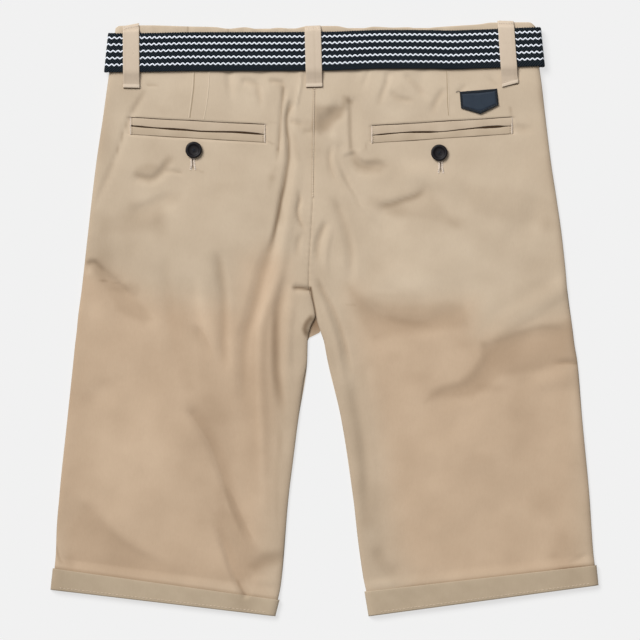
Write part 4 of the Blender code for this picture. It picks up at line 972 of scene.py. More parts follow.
class Nodes:
    """A short way to write a material's nodes."""

    def __init__(self, name, roughness, metallic=0.0, sheen=0.0, specular=0.25):
        self.material = bpy.data.materials.new(name)
        self.material.use_nodes = True
        self.tree = self.material.node_tree
        self.shader = self.tree.nodes["Principled BSDF"]
        self.shader.inputs["Roughness"].default_value = roughness
        self.shader.inputs["Metallic"].default_value = metallic
        self.shader.inputs["Sheen Weight"].default_value = sheen
        self.shader.inputs["Specular IOR Level"].default_value = specular
        self.place = self.node("ShaderNodeTexCoord").outputs["Object"]

    def node(self, kind, **settings):
        made = self.tree.nodes.new(kind)
        for name, value in settings.items():
            setattr(made, name, value)
        return made

    def put(self, socket, value):
        if isinstance(value, bpy.types.NodeSocket):
            self.tree.links.new(value, socket)
        else:
            socket.default_value = value

    def math(self, operation, a, b=0.0):
        made = self.node("ShaderNodeMath", operation=operation)
        self.put(made.inputs[0], a)
        self.put(made.inputs[1], b)
        return made.outputs[0]

    def total(self, first, *others):
        """The sum of the values."""
        for other in others:
            first = self.math("ADD", first, other)
        return first

    def times(self, value, factor):
        return self.math("MULTIPLY", value, factor)

    def mix(self, share, a, b, blend="MIX"):
        made = self.node("ShaderNodeMix", data_type="RGBA", blend_type=blend)
        self.put(made.inputs["Factor"], share)
        self.put(made.inputs[6], a)
        self.put(made.inputs[7], b)
        return made.outputs[2]

    def stretched(self, x, y, z):
        made = self.node("ShaderNodeMapping")
        self.put(made.inputs["Vector"], self.place)
        made.inputs["Scale"].default_value = (x, y, z)
        return made.outputs["Vector"]

    def noise(self, size_mm, detail=2.0, vector=None):
        made = self.node("ShaderNodeTexNoise")
        self.put(made.inputs["Vector"], vector or self.place)
        made.inputs["Scale"].default_value = 1 / (size_mm * MM)
        made.inputs["Detail"].default_value = detail
        return made.outputs["Fac"]

    def level(self, value, low, high):
        """value from 0..1 spread over low..high."""
        return self.total(self.times(value, high - low), low)

    def attribute(self, name):
        return self.node("ShaderNodeAttribute", attribute_name=name).outputs["Fac"]

    def bump(self, height, distance_mm):
        made = self.node("ShaderNodeBump")
        made.inputs["Distance"].default_value = distance_mm * MM
        made.inputs["Strength"].default_value = 1.0
        self.put(made.inputs["Height"], height)
        self.put(self.shader.inputs["Normal"], made.outputs["Normal"])

    def colour(self, value):
        self.put(self.shader.inputs["Base Color"], value)

    def shaded(self, colour, channels):
        """The surface's colour is this one times the shade of each of its channels."""
        shade = self.node("ShaderNodeCombineColor")
        for k, value in enumerate(channels):
            self.put(shade.inputs[k], value)
        self.colour(self.mix(1.0, colour, shade.outputs[0], "MULTIPLY"))


def twill_material(name, colour, warm=None):
    """Cotton twill: fine diagonal ribs, slubs and a faint mottle, times the tone attribute, which holds
    painted light and shade.
    """
    made = Nodes(name, roughness=0.92, sheen=0.12)
    weave = made.math("SINE", diagonal(made, WEAVE_PITCH))
    slub = made.noise(1.1, 1.0, made.stretched(1.0, 0.22, 1.0))
    mottle, fine = made.noise(16, 4.0), made.noise(4, 2.0)
    base = made.mix(made.attribute("warm"), colour, warm) if warm else colour
    shade = made.total(
        made.level(mottle, 0.985, 1.015), made.level(fine, -0.02, 0.02), made.times(weave, 0.018),
        made.level(slub, -0.03, 0.03),
    )
    # the tone attribute holds the painted light and shade, with the mottle
    shade = made.times(shade, made.attribute("tone"))
    made.shaded(base, [made.math("POWER", shade, power) for power in SHADE_POWERS])
    made.bump(made.total(made.times(weave, 0.35), slub), 0.06)
    return made.material


def diagonal(made, pitch_mm):
    """The phase of ribs that run at 45 degrees, up to the right."""
    parts = made.node("ShaderNodeSeparateXYZ")
    made.put(parts.inputs[0], made.place)
    rate = 2 * math.pi / (pitch_mm * MM * math.sqrt(2))
    return made.math("SUBTRACT", made.times(parts.outputs[0], rate), made.times(parts.outputs[1], rate))


def webbing_material():
    """Dark woven webbing: bands of ribs that slant one way and the other between the zigzags."""
    made = Nodes("belt_webbing", roughness=0.95, specular=0.08)
    s, v = made.attribute("along_mm"), made.attribute("across_mm")
    slant = made.math("SIGN", made.math("SINE", made.times(v, 2 * math.pi / SLANT_PITCH)))
    slanted = made.total(s, made.times(v, slant))
    ribs = made.math("SINE", made.times(slanted, 2 * math.pi / RIB_PITCH))
    picks = made.math("SINE", made.times(v, 2 * math.pi / PICK_PITCH))
    raised = made.total(made.times(ribs, 0.6), made.total(made.times(picks, 0.1), 0.5))
    lint = made.noise(1.6, 3.0)
    base = made.mix(raised, srgb(0, 2, 4), srgb(46, 55, 62))
    made.colour(made.mix(made.level(lint, -0.3, 0.35), base, srgb(58, 50, 64)))
    made.bump(raised, 0.3)
    return made.material


def thread_material(name, colour):
    made = Nodes(name, roughness=0.8, sheen=0.1)
    twist = made.noise(0.5, 1.0)
    made.shaded(colour, [made.level(twist, 0.88, 1.12)] * 3)
    made.bump(twist, 0.05)
    return made.material


def leather_material():
    made = Nodes("patch_leather", roughness=0.55)
    cells = made.node("ShaderNodeTexVoronoi", feature="DISTANCE_TO_EDGE")
    made.put(cells.inputs["Vector"], made.place)
    cells.inputs["Scale"].default_value = 1 / (0.9 * MM)
    grain = made.math("MINIMUM", cells.outputs["Distance"], 0.25)
    cloud = made.noise(5, 3.0)
    colour = made.mix(made.level(cloud, 0.1, 0.9), srgb(30, 41, 54), srgb(45, 57, 71))
    made.shaded(colour, [made.attribute("tone")] * 3)
    made.bump(made.total(grain, made.times(cloud, 0.2)), 0.18)
    return made.material


def button_material():
    made = Nodes("button_plastic", roughness=0.5)
    streak = made.noise(2.2, 3.0, made.stretched(1.0, 0.3, 1.0))
    made.colour(made.mix(made.level(streak, 0.1, 0.9), srgb(10, 8, 10), srgb(26, 21, 25)))
    made.bump(streak, 0.03)
    return made.material


def metal_material():
    made = Nodes("buckle_metal", roughness=0.34, metallic=1.0)
    brush = made.noise(0.6, 2.0, made.stretched(0.05, 1.0, 1.0))
    made.colour(made.mix(made.level(brush, 0.2, 0.8), srgb(176, 176, 178), srgb(204, 204, 206)))
    made.bump(brush, 0.02)
    return made.material


def shadow_material(name, colour):
    """Painted shade: the dull brown of a slit, a furrow or a seam in shade."""
    made = Nodes(name, roughness=0.9)
    speck = made.noise(1.5, 2.0)
    made.shaded(colour, [made.level(speck, 0.85, 1.15)] * 3)
    made.bump(speck, 0.05)
    return made.material


# ---- Grids of the legs ----
def pocket_lines(pocket, x):
    """The straight line of the slit at x, and the edges of the welts above and below it."""
    (ax, ay), (bx, by) = pocket.side_end, pocket.inner_end
    share = (x - ax) / (bx - ax)
    slit = between(ay, by, share)
    return slit, slit + between(*pocket.up, share), slit - between(*pocket.down, share)


def pocket_row(sections, pocket, upper):
    """The section of a leg that runs along the window of the pocket, above or below it."""
    line, margin = (1, WINDOW_MARGIN) if upper else (2, -WINDOW_MARGIN)
    ends = (sections[2].outer_x, sections[2].inner_x)
    outer_y, inner_y = (pocket_lines(pocket, x)[line] + margin for x in ends)
    table = np.array(sections[:6])[::-1]
    outer_x = curve_through(table[:, 1], table[:, 0], outer_y)
    inner_x = curve_through(table[:, 3], table[:, 2], inner_y)
    lift = curve_through(table[:, 3], table[:, 4], (outer_y + inner_y) / 2)
    return Section(outer_x, outer_y, inner_x, inner_y, lift, 0)


def leg_rows(sections, pitch, sharp_at=()):
    """The sections with smooth ones between them, as an array with a row for each."""
    table = np.array(sections)
    step = (np.abs(np.diff(table[:, 1])) + np.abs(np.diff(table[:, 3]))) / 2
    knots = np.concatenate([[0], np.cumsum(step)])
    places = np.linspace(0, knots[-1], int(knots[-1] / pitch) + 1)
    for index in sharp_at:
        places = places[np.abs(places - knots[index]) > pitch / 2]
        places = np.sort(np.append(places, [knots[index] - SHARP_STEP, knots[index] + SHARP_STEP]))
    return np.stack([curve_through(knots, table[:, k], places) for k in range(6)], axis=1)


def edge_turn():
    """Shares of the turn's width and height, from the foot of a back panel's edge to its top."""
    angle = np.linspace(0, math.pi / 2, TURN_POINTS)
    across = np.concatenate([[0], 1 - np.cos(angle)])
    up = np.concatenate([[0], TURN_FOOT + (1 - TURN_FOOT) * np.sin(angle)])
    return across, up


def back_grid(rows, out=0.0, height=cloth_height):
    """Points on the middle of a back panel's wall, from the side seam to the inner edge in each row.

    With out, they lie that far outside it, as a cuff does.
    """
    out = np.broadcast_to(np.asarray(out, float), len(rows))[:, None]
    outer, inner, lift, roll = rows[:, 0:2], rows[:, 2:4], rows[:, 4:5], rows[:, 5:6]
    width = np.linalg.norm(inner - outer, axis=1)[:, None]
    heading = (inner - outer) / width
    turn_across, turn_up = edge_turn()
    even = np.linspace(0, 1, len(turn_across))
    turn_width = TURN_WIDTH + out
    start, end = CLOTH / 2 - out, width - CLOTH / 2 * roll + out
    share = np.arange(1, BACK_COLUMNS) / BACK_COLUMNS
    share = share * (1 + COLUMN_LEAN - COLUMN_LEAN * share)
    place = np.concatenate([
        start + turn_width * turn_across,
        between(start + turn_width, end - turn_width, share),
        (end - turn_width * between(even, turn_across, roll))[:, ::-1],
    ], axis=1)
    up = np.concatenate([turn_up, np.ones(len(share)), turn_up[::-1]])
    held = np.ones((len(rows), len(turn_up) + len(share)))
    hold = np.concatenate([held, np.repeat(roll, len(turn_up), 1)], axis=1)
    x = outer[:, 0:1] + heading[:, 0:1] * place
    y = outer[:, 1:2] + heading[:, 1:2] * place
    floor = lift + CLOTH
    top = floor + np.maximum(LAYER_RISE + height(x, y), SEAM_GAP + CLOTH / 2) + out
    foot = between(top, floor + SEAM_GAP, hold)
    return np.stack([x, y, between(foot, top, up)], axis=-1)


def front_grid(rows, out=0.0, z=None):
    """Points on the middle of a front panel's wall, or of a cuff's that reaches out beyond its edges."""
    outer, inner = rows[:, 0:2], rows[:, 2:4]
    heading = unit(inner - outer)
    share = np.linspace(0, 1, FRONT_COLUMNS + 1)[None, :, None]
    xy = between((outer - heading * out)[:, None], (inner + heading * out)[:, None], share)
    return with_height(xy, (rows[:, 4] + CLOTH / 2)[:, None] if z is None else z)


def front_rows(sections, side):
    gap = SEAM_GAP if side == "left" else 0
    chosen = []
    for index in FRONT_SECTIONS:
        section = sections[index]
        if index <= FRONT_CROTCH_SECTION:
            y = FRONT_SEAM[0][0] if index == FRONT_CROTCH_SECTION else section.inner_y
            section = section._replace(inner_x=along(FRONT_SEAM, y) - gap, inner_y=y)
        chosen.append(section)
    return chosen


def down_leg(outer, inner):
    """The direction down the leg, square to the line from the side seam to the inner edge."""
    heading = unit(inner - outer)
    down = np.stack([heading[..., 1], -heading[..., 0]], axis=-1)
    return down * -np.sign(down[..., 1:2])


def moved_down(rows, by):
    """The rows moved down the leg, square to themselves. by has a number for each row."""
    shift = down_leg(rows[:, 0:2], rows[:, 2:4]) * by[:, None]
    moved = rows.copy()
    moved[:, 0:2] += shift
    moved[:, 2:4] += shift
    return moved


def warm_share(grid):
    x, y = grid[..., 0], grid[..., 1]
    return np.maximum(inside(x, y, WARM_LEFT, WARM_BLUR), inside(x, y, WARM_RIGHT, WARM_BLUR))


def window_depth(x, y, pocket):
    """How deep the pocket's window is let into the panel."""
    _, top, low = pocket_lines(pocket, x)
    first, last = sorted((pocket.side_end[0], pocket.inner_end[0]))
    (end_reach, end_slope), (edge_reach, edge_slope) = WINDOW_ENDS, WINDOW_EDGES
    across = smooth((x - first + end_reach) / end_slope) * smooth((last + end_reach - x) / end_slope)
    down = smooth((top + edge_reach - y) / edge_slope) * smooth((y - low + edge_reach) / edge_slope)
    return WINDOW_DEPTH * across * down


def off_seam(x, y, sections):
    """How far a point is from the centre-back seam."""
    table = np.array(sections[:9])[::-1]
    return np.abs(x - np.interp(y, table[:, 3], table[:, 2]))


def seam_dip(x, y, sections):
    """The groove along the centre-back seam, and the pucker beside it."""
    away = off_seam(x, y, sections)
    wave = np.sin(2 * math.pi * y / PUCKER_PITCH + PUCKER_SWAY * np.sin(y / PUCKER_SWAY_PITCH))
    pucker = PUCKER_HEIGHT * wave * bell(away, PUCKER_REACH)
    return smooth((y - SEAM_FOOT) / SEAM_FADE) * (pucker - SEAM_DEPTH * bell(away, SEAM_REACH))


def seam_shade(grid, sections):
    x, y = grid[..., 0], grid[..., 1]
    # painted shade in the seam's groove, deeper beside each stitch
    dark = along(SEAM_SHADE, y) * (1 + SEAM_BEAT * np.sin(2 * math.pi * y / SEAM_BEAT_PITCH))
    near = bell(off_seam(x, y, sections), SEAM_REACH)
    return 1 - dark * near * smooth((y - SEAM_SHADE_FOOT) / SEAM_SHADE_FADE)


def turn_down_shade(grid, rolls):
    """Painted shade: the cloth is darker where it turns down at the side seam and at the inner edge of the
    leg.
    """
    dark = {}
    for edge, line in (("side", grid[:, :1, :2]), ("inner", grid[:, -1:, :2])):
        away = np.linalg.norm(grid[..., :2] - line, axis=2)
        dark[edge] = sum(share * bell(away, reach) for share, reach in EDGE_DARK[edge])
    return (1 - dark["inner"] * rolls[:, None]) * (1 - dark["side"])


def above_cuff_shade(grid, sections, side):
    """Painted shade: the dark line in the corner between a panel and the upper edge of its cuff."""
    outer, inner = np.array(sections[-2][0:2]), np.array(sections[-2][2:4])
    heading = unit(inner - outer)
    x, y = grid[..., 0], grid[..., 1]
    away = (x - outer[0]) * heading[1] - (y - outer[1]) * heading[0]
    return 1 - along(CUFF_SHADOW[side], x) * bell(away, CUFF_SHADOW_REACH)


def make_panels(side, sections):
    """A leg's back panel and front panel."""
    pocket = POCKETS[side]
    window = [pocket_row(sections, pocket, upper) for upper in (True, False)]
    rows = leg_rows(sections[:2] + window + sections[3:], ROW_PITCH, (2, 3))

    def height(x, y):
        return cloth_height(x, y) - window_depth(x, y, pocket) + seam_dip(x, y, sections)

    grid = back_grid(rows, height=height)
    tone = cloth_tone(grid[..., 0], grid[..., 1]) * turn_down_shade(grid, rows[:, 5])
    tone = tone * seam_shade(grid, sections) * above_cuff_shade(grid, sections, side)
    warm = warm_share(grid)
    back = cloth_piece(f"back_{side}", grid, TWILL_WALL, twill, SOFT_FOLD_ANGLE, warm=warm, tone=tone)

    grid = front_grid(leg_rows(front_rows(sections, side), FRONT_ROW_PITCH))
    x, y = grid[..., 0], grid[..., 1]
    ripple = hump((y % FRONT_RIPPLE_PITCH - FRONT_RIPPLE_PITCH / 2) / FRONT_RIPPLE_REACH)
    grid[..., 2] += FRONT_RIPPLE_HEIGHT * ripple * hump(x / FRONT_RIPPLE_WIDTH)
    # painted shade, darker and warmer, where the front shows in the crotch gap, on its upper side only
    upper = np.sign(grid_normals(grid)[..., 2]) * np.array((1, -1))[:, None, None] > 0
    dark = upper * hump(np.hypot(x - CROTCH_GAP[0], y - CROTCH_GAP[1]) / CROTCH_GAP_REACH)
    tone = 1 - CROTCH_GAP_DARK * dark
    # painted shade of the front's faint creases
    for crease in FRONT_CREASE_SHADES:
        tone = tone * (1 - crease.share * band(x, y, crease))
    return back, cloth_piece(f"front_{side}", grid, TWILL_WALL, twill, warm=dark, tone=tone)


def make_cuff(side, sections):
    """The turned-up hem: its back and front halves, each folded round the panel's end."""
    top, low = np.array(sections[-2]), np.array(sections[-1])
    places, share = rounded(1.0, *CUFF_DOWN)
    run = np.array([between(top, low, place) for place in places])
    turn = np.linspace(0, math.pi, 9)[1:]
    fold = moved_down(np.repeat(run[-1:], len(turn), axis=0), CUFF_BELOW * np.sin(turn))
    rows = np.concatenate([run, fold, run[[-6, -9]]])
    out = CUFF_OUT * np.concatenate([np.ones(len(run)), np.cos(turn), [-1, -1]])
    wall = TWILL_WALL * np.concatenate([share[:-4], np.ones(4 + len(turn) + 2)])[:, None]

    grid = back_grid(rows, out)
    x, y = grid[..., 0], grid[..., 1]
    tone = along(CUFF_TONE[side], x) * (1 + ripples(x, y, CUFF_MOTTLE))
    # painted highlight along the cuff's upper edge
    tone = tone * (1 + CUFF_EDGE_HIGHLIGHT * bell(np.arange(len(grid)), CUFF_EDGE_ROWS))[:, None]
    back = cloth_piece(f"cuff_back_{side}", grid, wall, cuff_twill, tone=tone)

    rise = CUFF_LIFT + CLOTH + SEAM_GAP
    z = CUFF / 2 + rise * np.concatenate([np.zeros(len(run)), (1 - np.cos(turn)) / 2, [1, 1]])
    grid = front_grid(rows, CUFF_OUT, z[:, None])
    return back, cloth_piece(f"cuff_front_{side}", grid, wall, cuff_twill)


# ---- Waistband ----
def make_waistband():
    """The back waistband, and the two halves of the front one below it."""
    left, right = (np.array(BAND_SIDE[side]) for side in ("left", "right"))
    turn_across, turn_up = edge_turn()
    count = int((right[0, 0] - left[0, 0]) / BAND_PITCH)
    share, wall = rounded(1.0, *BAND_DOWN)
    share, wall = share[:, None], BAND_WALL * wall[:, None]
    first = between(left[0, 0], left[1, 0], share) + BAND / 2
    last = between(right[0, 0], right[1, 0], share) - BAND / 2
    x = np.concatenate([
        first + TURN_WIDTH * turn_across,
        between(first + TURN_WIDTH, last - TURN_WIDTH, np.arange(1, count) / count),
        (last - TURN_WIDTH * turn_across)[:, ::-1],
    ], axis=1)
    up = np.concatenate([turn_up, np.ones(count - 1), turn_up[::-1]])
    seam_y = between(left[0, 1], right[0, 1], (x - first) / (last - first))
    knots, heights = np.array(BAND_TOP).T
    y = between(seam_y, curve_through(knots, heights, np.clip(x, knots[0], knots[-1])), share)
    crown = BAND_BACK_Z + gather_height(x, y) + ripples(x, y, BAND_RIPPLES)
    grid = np.stack([x, y, between(WAIST_LIFT + BAND + SEAM_GAP, crown, up)], axis=-1)
    tone = between(*BAND_TONE, share)
    # painted shade along the waistband's seams
    for seam_x in BAND_SEAMS:
        tone = tone * (1 - BAND_SEAM_SHADE * bell(x - seam_x, BAND_SEAM_REACH))
    tone = tone * (1 + ripples(x, y, BAND_MOTTLE))
    made = [cloth_piece("waistband_back", grid, wall, twill, tone=tone)]
    across = np.linspace(0, 1, FRONT_BAND_COLUMNS + 1)[None, :, None]
    for side, middle_x in (("left", FRONT_MIDDLE_X - SEAM_GAP), ("right", FRONT_MIDDLE_X)):
        foot, top = np.array(BAND_SIDE[side])
        outer = between(foot, top, share)
        inner = between(np.array((middle_x, foot[1])), np.array((middle_x, FRONT_BAND_TOP)), share)
        grid = with_height(between(outer[:, None], inner[:, None], across), BAND_FRONT_Z)
        made.append(cloth_piece(f"waistband_front_{side}", grid, wall, twill))
    return made


# ---- Belt ----
def front_belt_y(x):
    (start_x, start_y), (end_x, end_y) = FRONT_BELT
    return between(start_y, end_y, (x - start_x) / (end_x - start_x))


def back_belt_y(x):
    knots, heights = np.array(BELT_WAVE).T
    return curve_through(knots, heights, np.clip(x, knots[0], knots[-1]))


def at_height(x, y, z):
    return with_height(np.stack([x, y], axis=1), z)


def belt_path():
    """Points along the middle of the strap, from one end in the buckle round the back to the other."""
    rise, middle_z = (STRAP_BACK_Z - STRAP_FRONT_Z) / 2, (STRAP_BACK_Z + STRAP_FRONT_Z) / 2
    angle = np.linspace(-math.pi / 2, math.pi / 2, 19)
    right_x = BELT_HALF_LENGTH + BELT_TURN * np.cos(angle)
    to_back = (1 + np.sin(angle)) / 2
    right_y = between(front_belt_y(right_x), back_belt_y(right_x), to_back)
    left_y = between(back_belt_y(-right_x), front_belt_y(-right_x), to_back)
    turn_right = np.stack([right_x, right_y, middle_z + rise * np.sin(angle)], axis=1)
    turn_left = np.stack([-right_x, left_y, middle_z - rise * np.sin(angle)], axis=1)
    front = np.arange(BUCKLE_X + STRAP_END_GAP, BELT_HALF_LENGTH, 4.0)
    front_left = np.arange(-BELT_HALF_LENGTH, BUCKLE_X - STRAP_END_GAP, 4.0)[1:]
    back = np.arange(BELT_HALF_LENGTH, -BELT_HALF_LENGTH, -4.0)[1:]
    rough = np.concatenate([
        at_height(front, front_belt_y(front), STRAP_FRONT_Z), turn_right,
        at_height(back, back_belt_y(back), STRAP_BACK_Z), turn_left,
        at_height(front_left, front_belt_y(front_left), STRAP_FRONT_Z),
    ])
    at = walked(rough)
    places = np.arange(0, at[-1], BELT_PITCH)
    path = np.stack([np.interp(places, at, rough[:, k]) for k in range(3)], axis=1)
    return places, path


def belt_point(path, v):
    """The points v mm above the middle line of the strap, on the middle of its wall."""
    flare = BELT_FLARE * path[:, 0] / BELT_HALF_LENGTH * v / (BELT_WIDTH / 2)
    return np.stack([path[:, 0] - flare, path[:, 1] + v, path[:, 2]], axis=1)


def zigzag(s):
    """The rounded triangular wave of the white lines, from -1 to 1."""
    phase = 2 * math.pi * s / ZIGZAG_PITCH
    return np.arcsin(ZIGZAG_POINT * np.sin(phase)) / math.asin(ZIGZAG_POINT)


def make_belt():
    """The webbing strap, and the raised white lines on it."""
    places, path = belt_path()
    across, wall = rounded(BELT_WIDTH, *BELT_ACROSS)
    rows = []
    for v in across - BELT_WIDTH / 2:
        edge = max(0.0, abs(v) - BELT_WIDTH / 2 + SCALLOP_REACH) / SCALLOP_REACH
        wave = np.sin(2 * math.pi * places / (ZIGZAG_PITCH / 2))
        rows.append(belt_point(path, v + math.copysign(SCALLOP_DEPTH * edge, v) * wave))
    grid = np.array(rows)
    pile = Pile()
    shell(pile, grid, STRAP_SHOWN * wall[:, None], along_mm=places, across_mm=across[:, None])
    belt = pile.build("belt_strap", webbing, "webbing", "belt")

    outwards = grid_normals(grid)[len(across) // 2]
    outwards *= np.sign(outwards[len(path) // 2, 2])
    pile = Pile()
    for stripe in STRIPES:
        v = BELT_WIDTH / 2 - stripe * BELT_WIDTH + ZIGZAG_RISE * zigzag(places)
        line = belt_point(path, v) + outwards * (STRAP / 2 - ZIGZAG_SINK)
        ribbon(pile, line[2:-2], outwards[2:-2], ZIGZAG_WIDTH / 2, ZIGZAG_HEIGHT)
    return belt, pile.build("belt_zigzags", white_yarn, "webbing")


# ---- Belt loops ----
LOOP_PLACES, LOOP_ROUND = rounded(LOOP_WIDTH, *LOOP_ACROSS)


def loop_grid(place, heights):
    """A strip down a loop. heights are (y, z) of the middle of its wall, from its top down."""
    line = smooth_line(heights, LOOP_ROW_PITCH)
    share = (place.top_y - line[:, 0]) / (place.top_y - place.foot_y)
    x = between(place.top_x, place.foot_x, share)[:, None] + LOOP_PLACES - LOOP_WIDTH / 2
    tilt = between(place.tilt, place.foot_tilt, share)[:, None] * (LOOP_PLACES / LOOP_WIDTH - 0.5)
    y = line[:, 0:1] + tilt * (np.abs(share - 0.5) * 2)[:, None] ** 3
    z = np.broadcast_to(line[:, 1:2], x.shape) - LOOP_EDGE_DROP * (2 * LOOP_PLACES / LOOP_WIDTH - 1) ** 4
    return np.stack([x, y, z], axis=-1)


def loop_line(belt_y, over, on_band, on_panel, place):
    """The (y, z) line of a back loop's middle, from the waistband over the belt to the panel."""
    upper, lower = belt_y + BELT_WIDTH / 2, belt_y - BELT_WIDTH / 2
    return [
        (place.top_y + 0.5, on_band - 1.6), (place.top_y + 0.4, on_band - 0.6), (place.top_y - 0.4, on_band),
        (upper + 2.6, on_band + 0.3), (upper + 1.2, over - 0.2), (upper - 2, over), (belt_y, over + 0.1),
        (lower + 2, over), (lower - 0.5, over - 0.25), (lower - 4, over - 1.3), (lower - 8, on_panel + 0.8),
        (place.foot_y + 1.2, on_panel + 0.25), (place.foot_y, on_panel + 0.1),
    ]


def make_back_loop(place, panel_height, stitch_pile, shade_pile):
    """A loop over the belt, with its turned lower end and the bar tacks that hold it."""
    belt_y = float(back_belt_y(place.top_x))
    over = STRAP_BACK_Z + STRAP / 2 + SEAM_GAP + LOOP / 2
    on_band = BAND_BACK_Z + BAND / 2 + SEAM_GAP + LOOP / 2
    half = LOOP_WIDTH / 2
    near_foot = [(place.foot_x + dx, place.foot_y + dy) for dx in (-half, 0, half) for dy in (0, 4, 8)]
    under = max(panel_height(x, y) for x, y in near_foot)
    on_panel = max(under + SEAM_GAP + LOOP / 2, on_band - 1.2)
    grid = loop_grid(place, loop_line(belt_y, over, on_band, on_panel, place))
    x, y = grid[..., 0], grid[..., 1]
    line_x = between(grid[:, 0, 0], grid[:, -1, 0], LOOP_LINE_SHARE[place.name])[:, None]
    tone = 1 - LOOP_LINE_DARK * bell(x - line_x, LOOP_LINE_REACH)
    # painted light and shade down the loop
    tone = tone * along([(belt_y + step, share) for step, share in LOOP_LIGHT_AND_SHADE], y)
    pile = Pile()
    shell(pile, grid, LOOP_WALL * LOOP_ROUND, tone=tone)
    # the end is turned under, which shows as a lip below the strip
    low = place.foot_y
    turned = place._replace(top_y=low + 2.6, top_x=place.foot_x, foot_y=low - 0.6, tilt=place.foot_tilt)
    lip_line = [(low + 2.6, on_panel + 0.6), (low + 1.2, on_panel + 0.75), (low - 0.3, on_panel + 0.4)]
    lip = loop_grid(turned, lip_line)
    lip[..., 1] += place.foot_tilt * (LOOP_PLACES / LOOP_WIDTH - 0.5)
    # the lip is lighter: painted highlight
    shell(pile, lip, LIP_WALL * LOOP_ROUND, tone=LIP_HIGHLIGHT)
    made = pile.build(f"{place.name}_cloth", pink_twill, replaces=place.name)

    # painted shadow: a dark strand under the loop's foot, and dark bars beside its upper bar tacks
    steps = np.linspace(-0.49, 0.49, LOOP_TACKS)
    shadow = at_height(place.foot_x + steps * LOOP_WIDTH, low - 0.8 + steps * place.foot_tilt, under + 0.15)
    ribbon(shade_pile, shadow, UP, *LOOP_SHADE_STRAND)
    for k in range(LOOP_TACKS):
        s = (k + 0.5) / LOOP_TACKS - 0.5
        x, y = place.top_x + s * (LOOP_WIDTH - 1.5), place.top_y - 1.5 + s * place.tilt
        lay_bar(stitch_pile, LOOP_TOP_BAR, x, y, on_band + 0.6)
        lay_bar(shade_pile, LOOP_SHADE_BAR, x + 0.8, y, on_band + 0.5)
        x, y = place.foot_x + s * (LOOP_WIDTH - 2), low + 3.2 + s * place.foot_tilt
        lay_bar(stitch_pile, LOOP_FOOT_BAR, x, y, on_panel + 0.8)
    return made


def make_front_loop(place):
    """A loop round the belt on the front, which lies face down."""
    belt_y = front_belt_y(place.top_x)
    upper, lower = belt_y + BELT_WIDTH / 2, belt_y - BELT_WIDTH / 2
    below = LOOP / 2
    at_band = WAIST_LIFT - SEAM_GAP - LOOP / 2
    at_panel = FRONT_LOOP_TOP - SEAM_GAP - LOOP / 2
    grid = loop_grid(place, [
        (place.top_y, at_band), (upper + 1.7, at_band - 0.1), (upper + 1.2, below + 0.5),
        (upper + 0.4, below), (lower - 0.4, below), (lower - 1.4, below + 0.5),
        (lower - 4, at_panel - 0.3), (lower - 7, at_panel), (place.foot_y, at_panel),
    ])
    grid[..., 2] = np.maximum(grid[..., 2], LOOP_LOWEST)
    return cloth_piece(place.name, grid, LOOP_WALL * LOOP_ROUND, pink_twill)


# ---- Pockets ----
def make_welts(side, x, middle, gape, top, low, base, panel_height):
    """The two welts of a pocket, on both sides of its slit."""
    made = []
    for name, start, end, material in (
        ("upper", middle + gape / 2, top, welt_twill), ("lower", low, middle - gape / 2, shaded_low_welt_twill),
    ):
        share, wall = rounded(1.0, *WELT_DOWN)
        grid = []
        for k, place_x in enumerate(x):
            y = between(start[k], end[k], share)
            z = np.minimum([panel_height(place_x, each) for each in y], base[k] + 0.5)
            z = z + WELT_LIFT + WELT_WALL / 2 + WELT_CROWN * np.sin(math.pi * share)
            grid.append(np.stack([np.full(len(y), place_x), y, z], axis=1))
        grid = np.array(grid)
        tone = 1 + ripples(grid[..., 0], grid[..., 1], WELT_MOTTLE)
        made.append(cloth_piece(f"pocket_{side}_{name}_welt", grid, WELT_WALL * wall, material, tone=tone))
    return made


def make_pocket(side, panel_height, stitch_pile):
    """A pocket's welts, painted shade in its mouth and along the edges of its welts, and the bar tacks round
    it.
    """
    pocket = POCKETS[side]
    steps = np.linspace(0, 1, POCKET_STEPS)
    x = between(pocket.side_end[0], pocket.inner_end[0], steps)
    straight, top, low = pocket_lines(pocket, x)
    middle = curve_through(*np.array(sorted(pocket.slit)).T, x)
    gape = curve_through(*np.array(pocket.gape).T, steps)
    base = np.array([panel_height(*place) for place in zip(x, straight)])
    made = make_welts(side, x, middle, gape, top, low, base, panel_height)
    # painted shade: a dark strip in the mouth under the slit, and dark lines along the edges of the welts
    pile, faint = Pile(), Pile()
    mouth = np.stack([x, middle, base + MOUTH_LIFT], axis=1)
    flat_strip(pile, mouth, gape / 2 + MOUTH_MARGIN, MOUTH_RISE)
    for line, margin, table, line_pile in (
        (top, TOP_LINE_MARGIN, TOP_LINE[side], pile), (low, -LOW_LINE_MARGIN, LOW_LINE[side], faint),
    ):
        y = line + margin + LINE_SWAY * np.sin(2 * math.pi * steps * LINE_SWAYS + 1.0)
        z = np.array([panel_height(*place) for place in zip(x, line - 3 * margin)]) + LINE_LIFT
        flat_strip(line_pile, np.stack([x, y, z], axis=1), along(table, steps), LINE_RISE)
    made.append(faint.build(f"pocket_{side}_lower_line", seam_shadow))
    # a column of close bar tacks at each end, and a row of dots of painted shade inside it
    for end, inward in ((0, 1), (-1, -1)):
        end_x = x[end]
        shadow_x = end_x + inward * math.copysign(TACK_SHADOW_AWAY, x[-1] - x[0])
        z = max(panel_height(end_x, top[end]), base[end] + 0.9) + 0.1
        for k in range(TACK_COUNT):
            y = between(low[end] + TACK_MARGIN, top[end] - TACK_MARGIN, k / (TACK_COUNT - 1))
            lay_bar(stitch_pile, POCKET_BAR, end_x, y, z)
            if k % 2:
                lay_bar(pile, TACK_SHADOW_DOT, shadow_x, y, z - 0.1)
    made.append(pile.build(f"pocket_{side}_mouth", deep_shade))
    return made


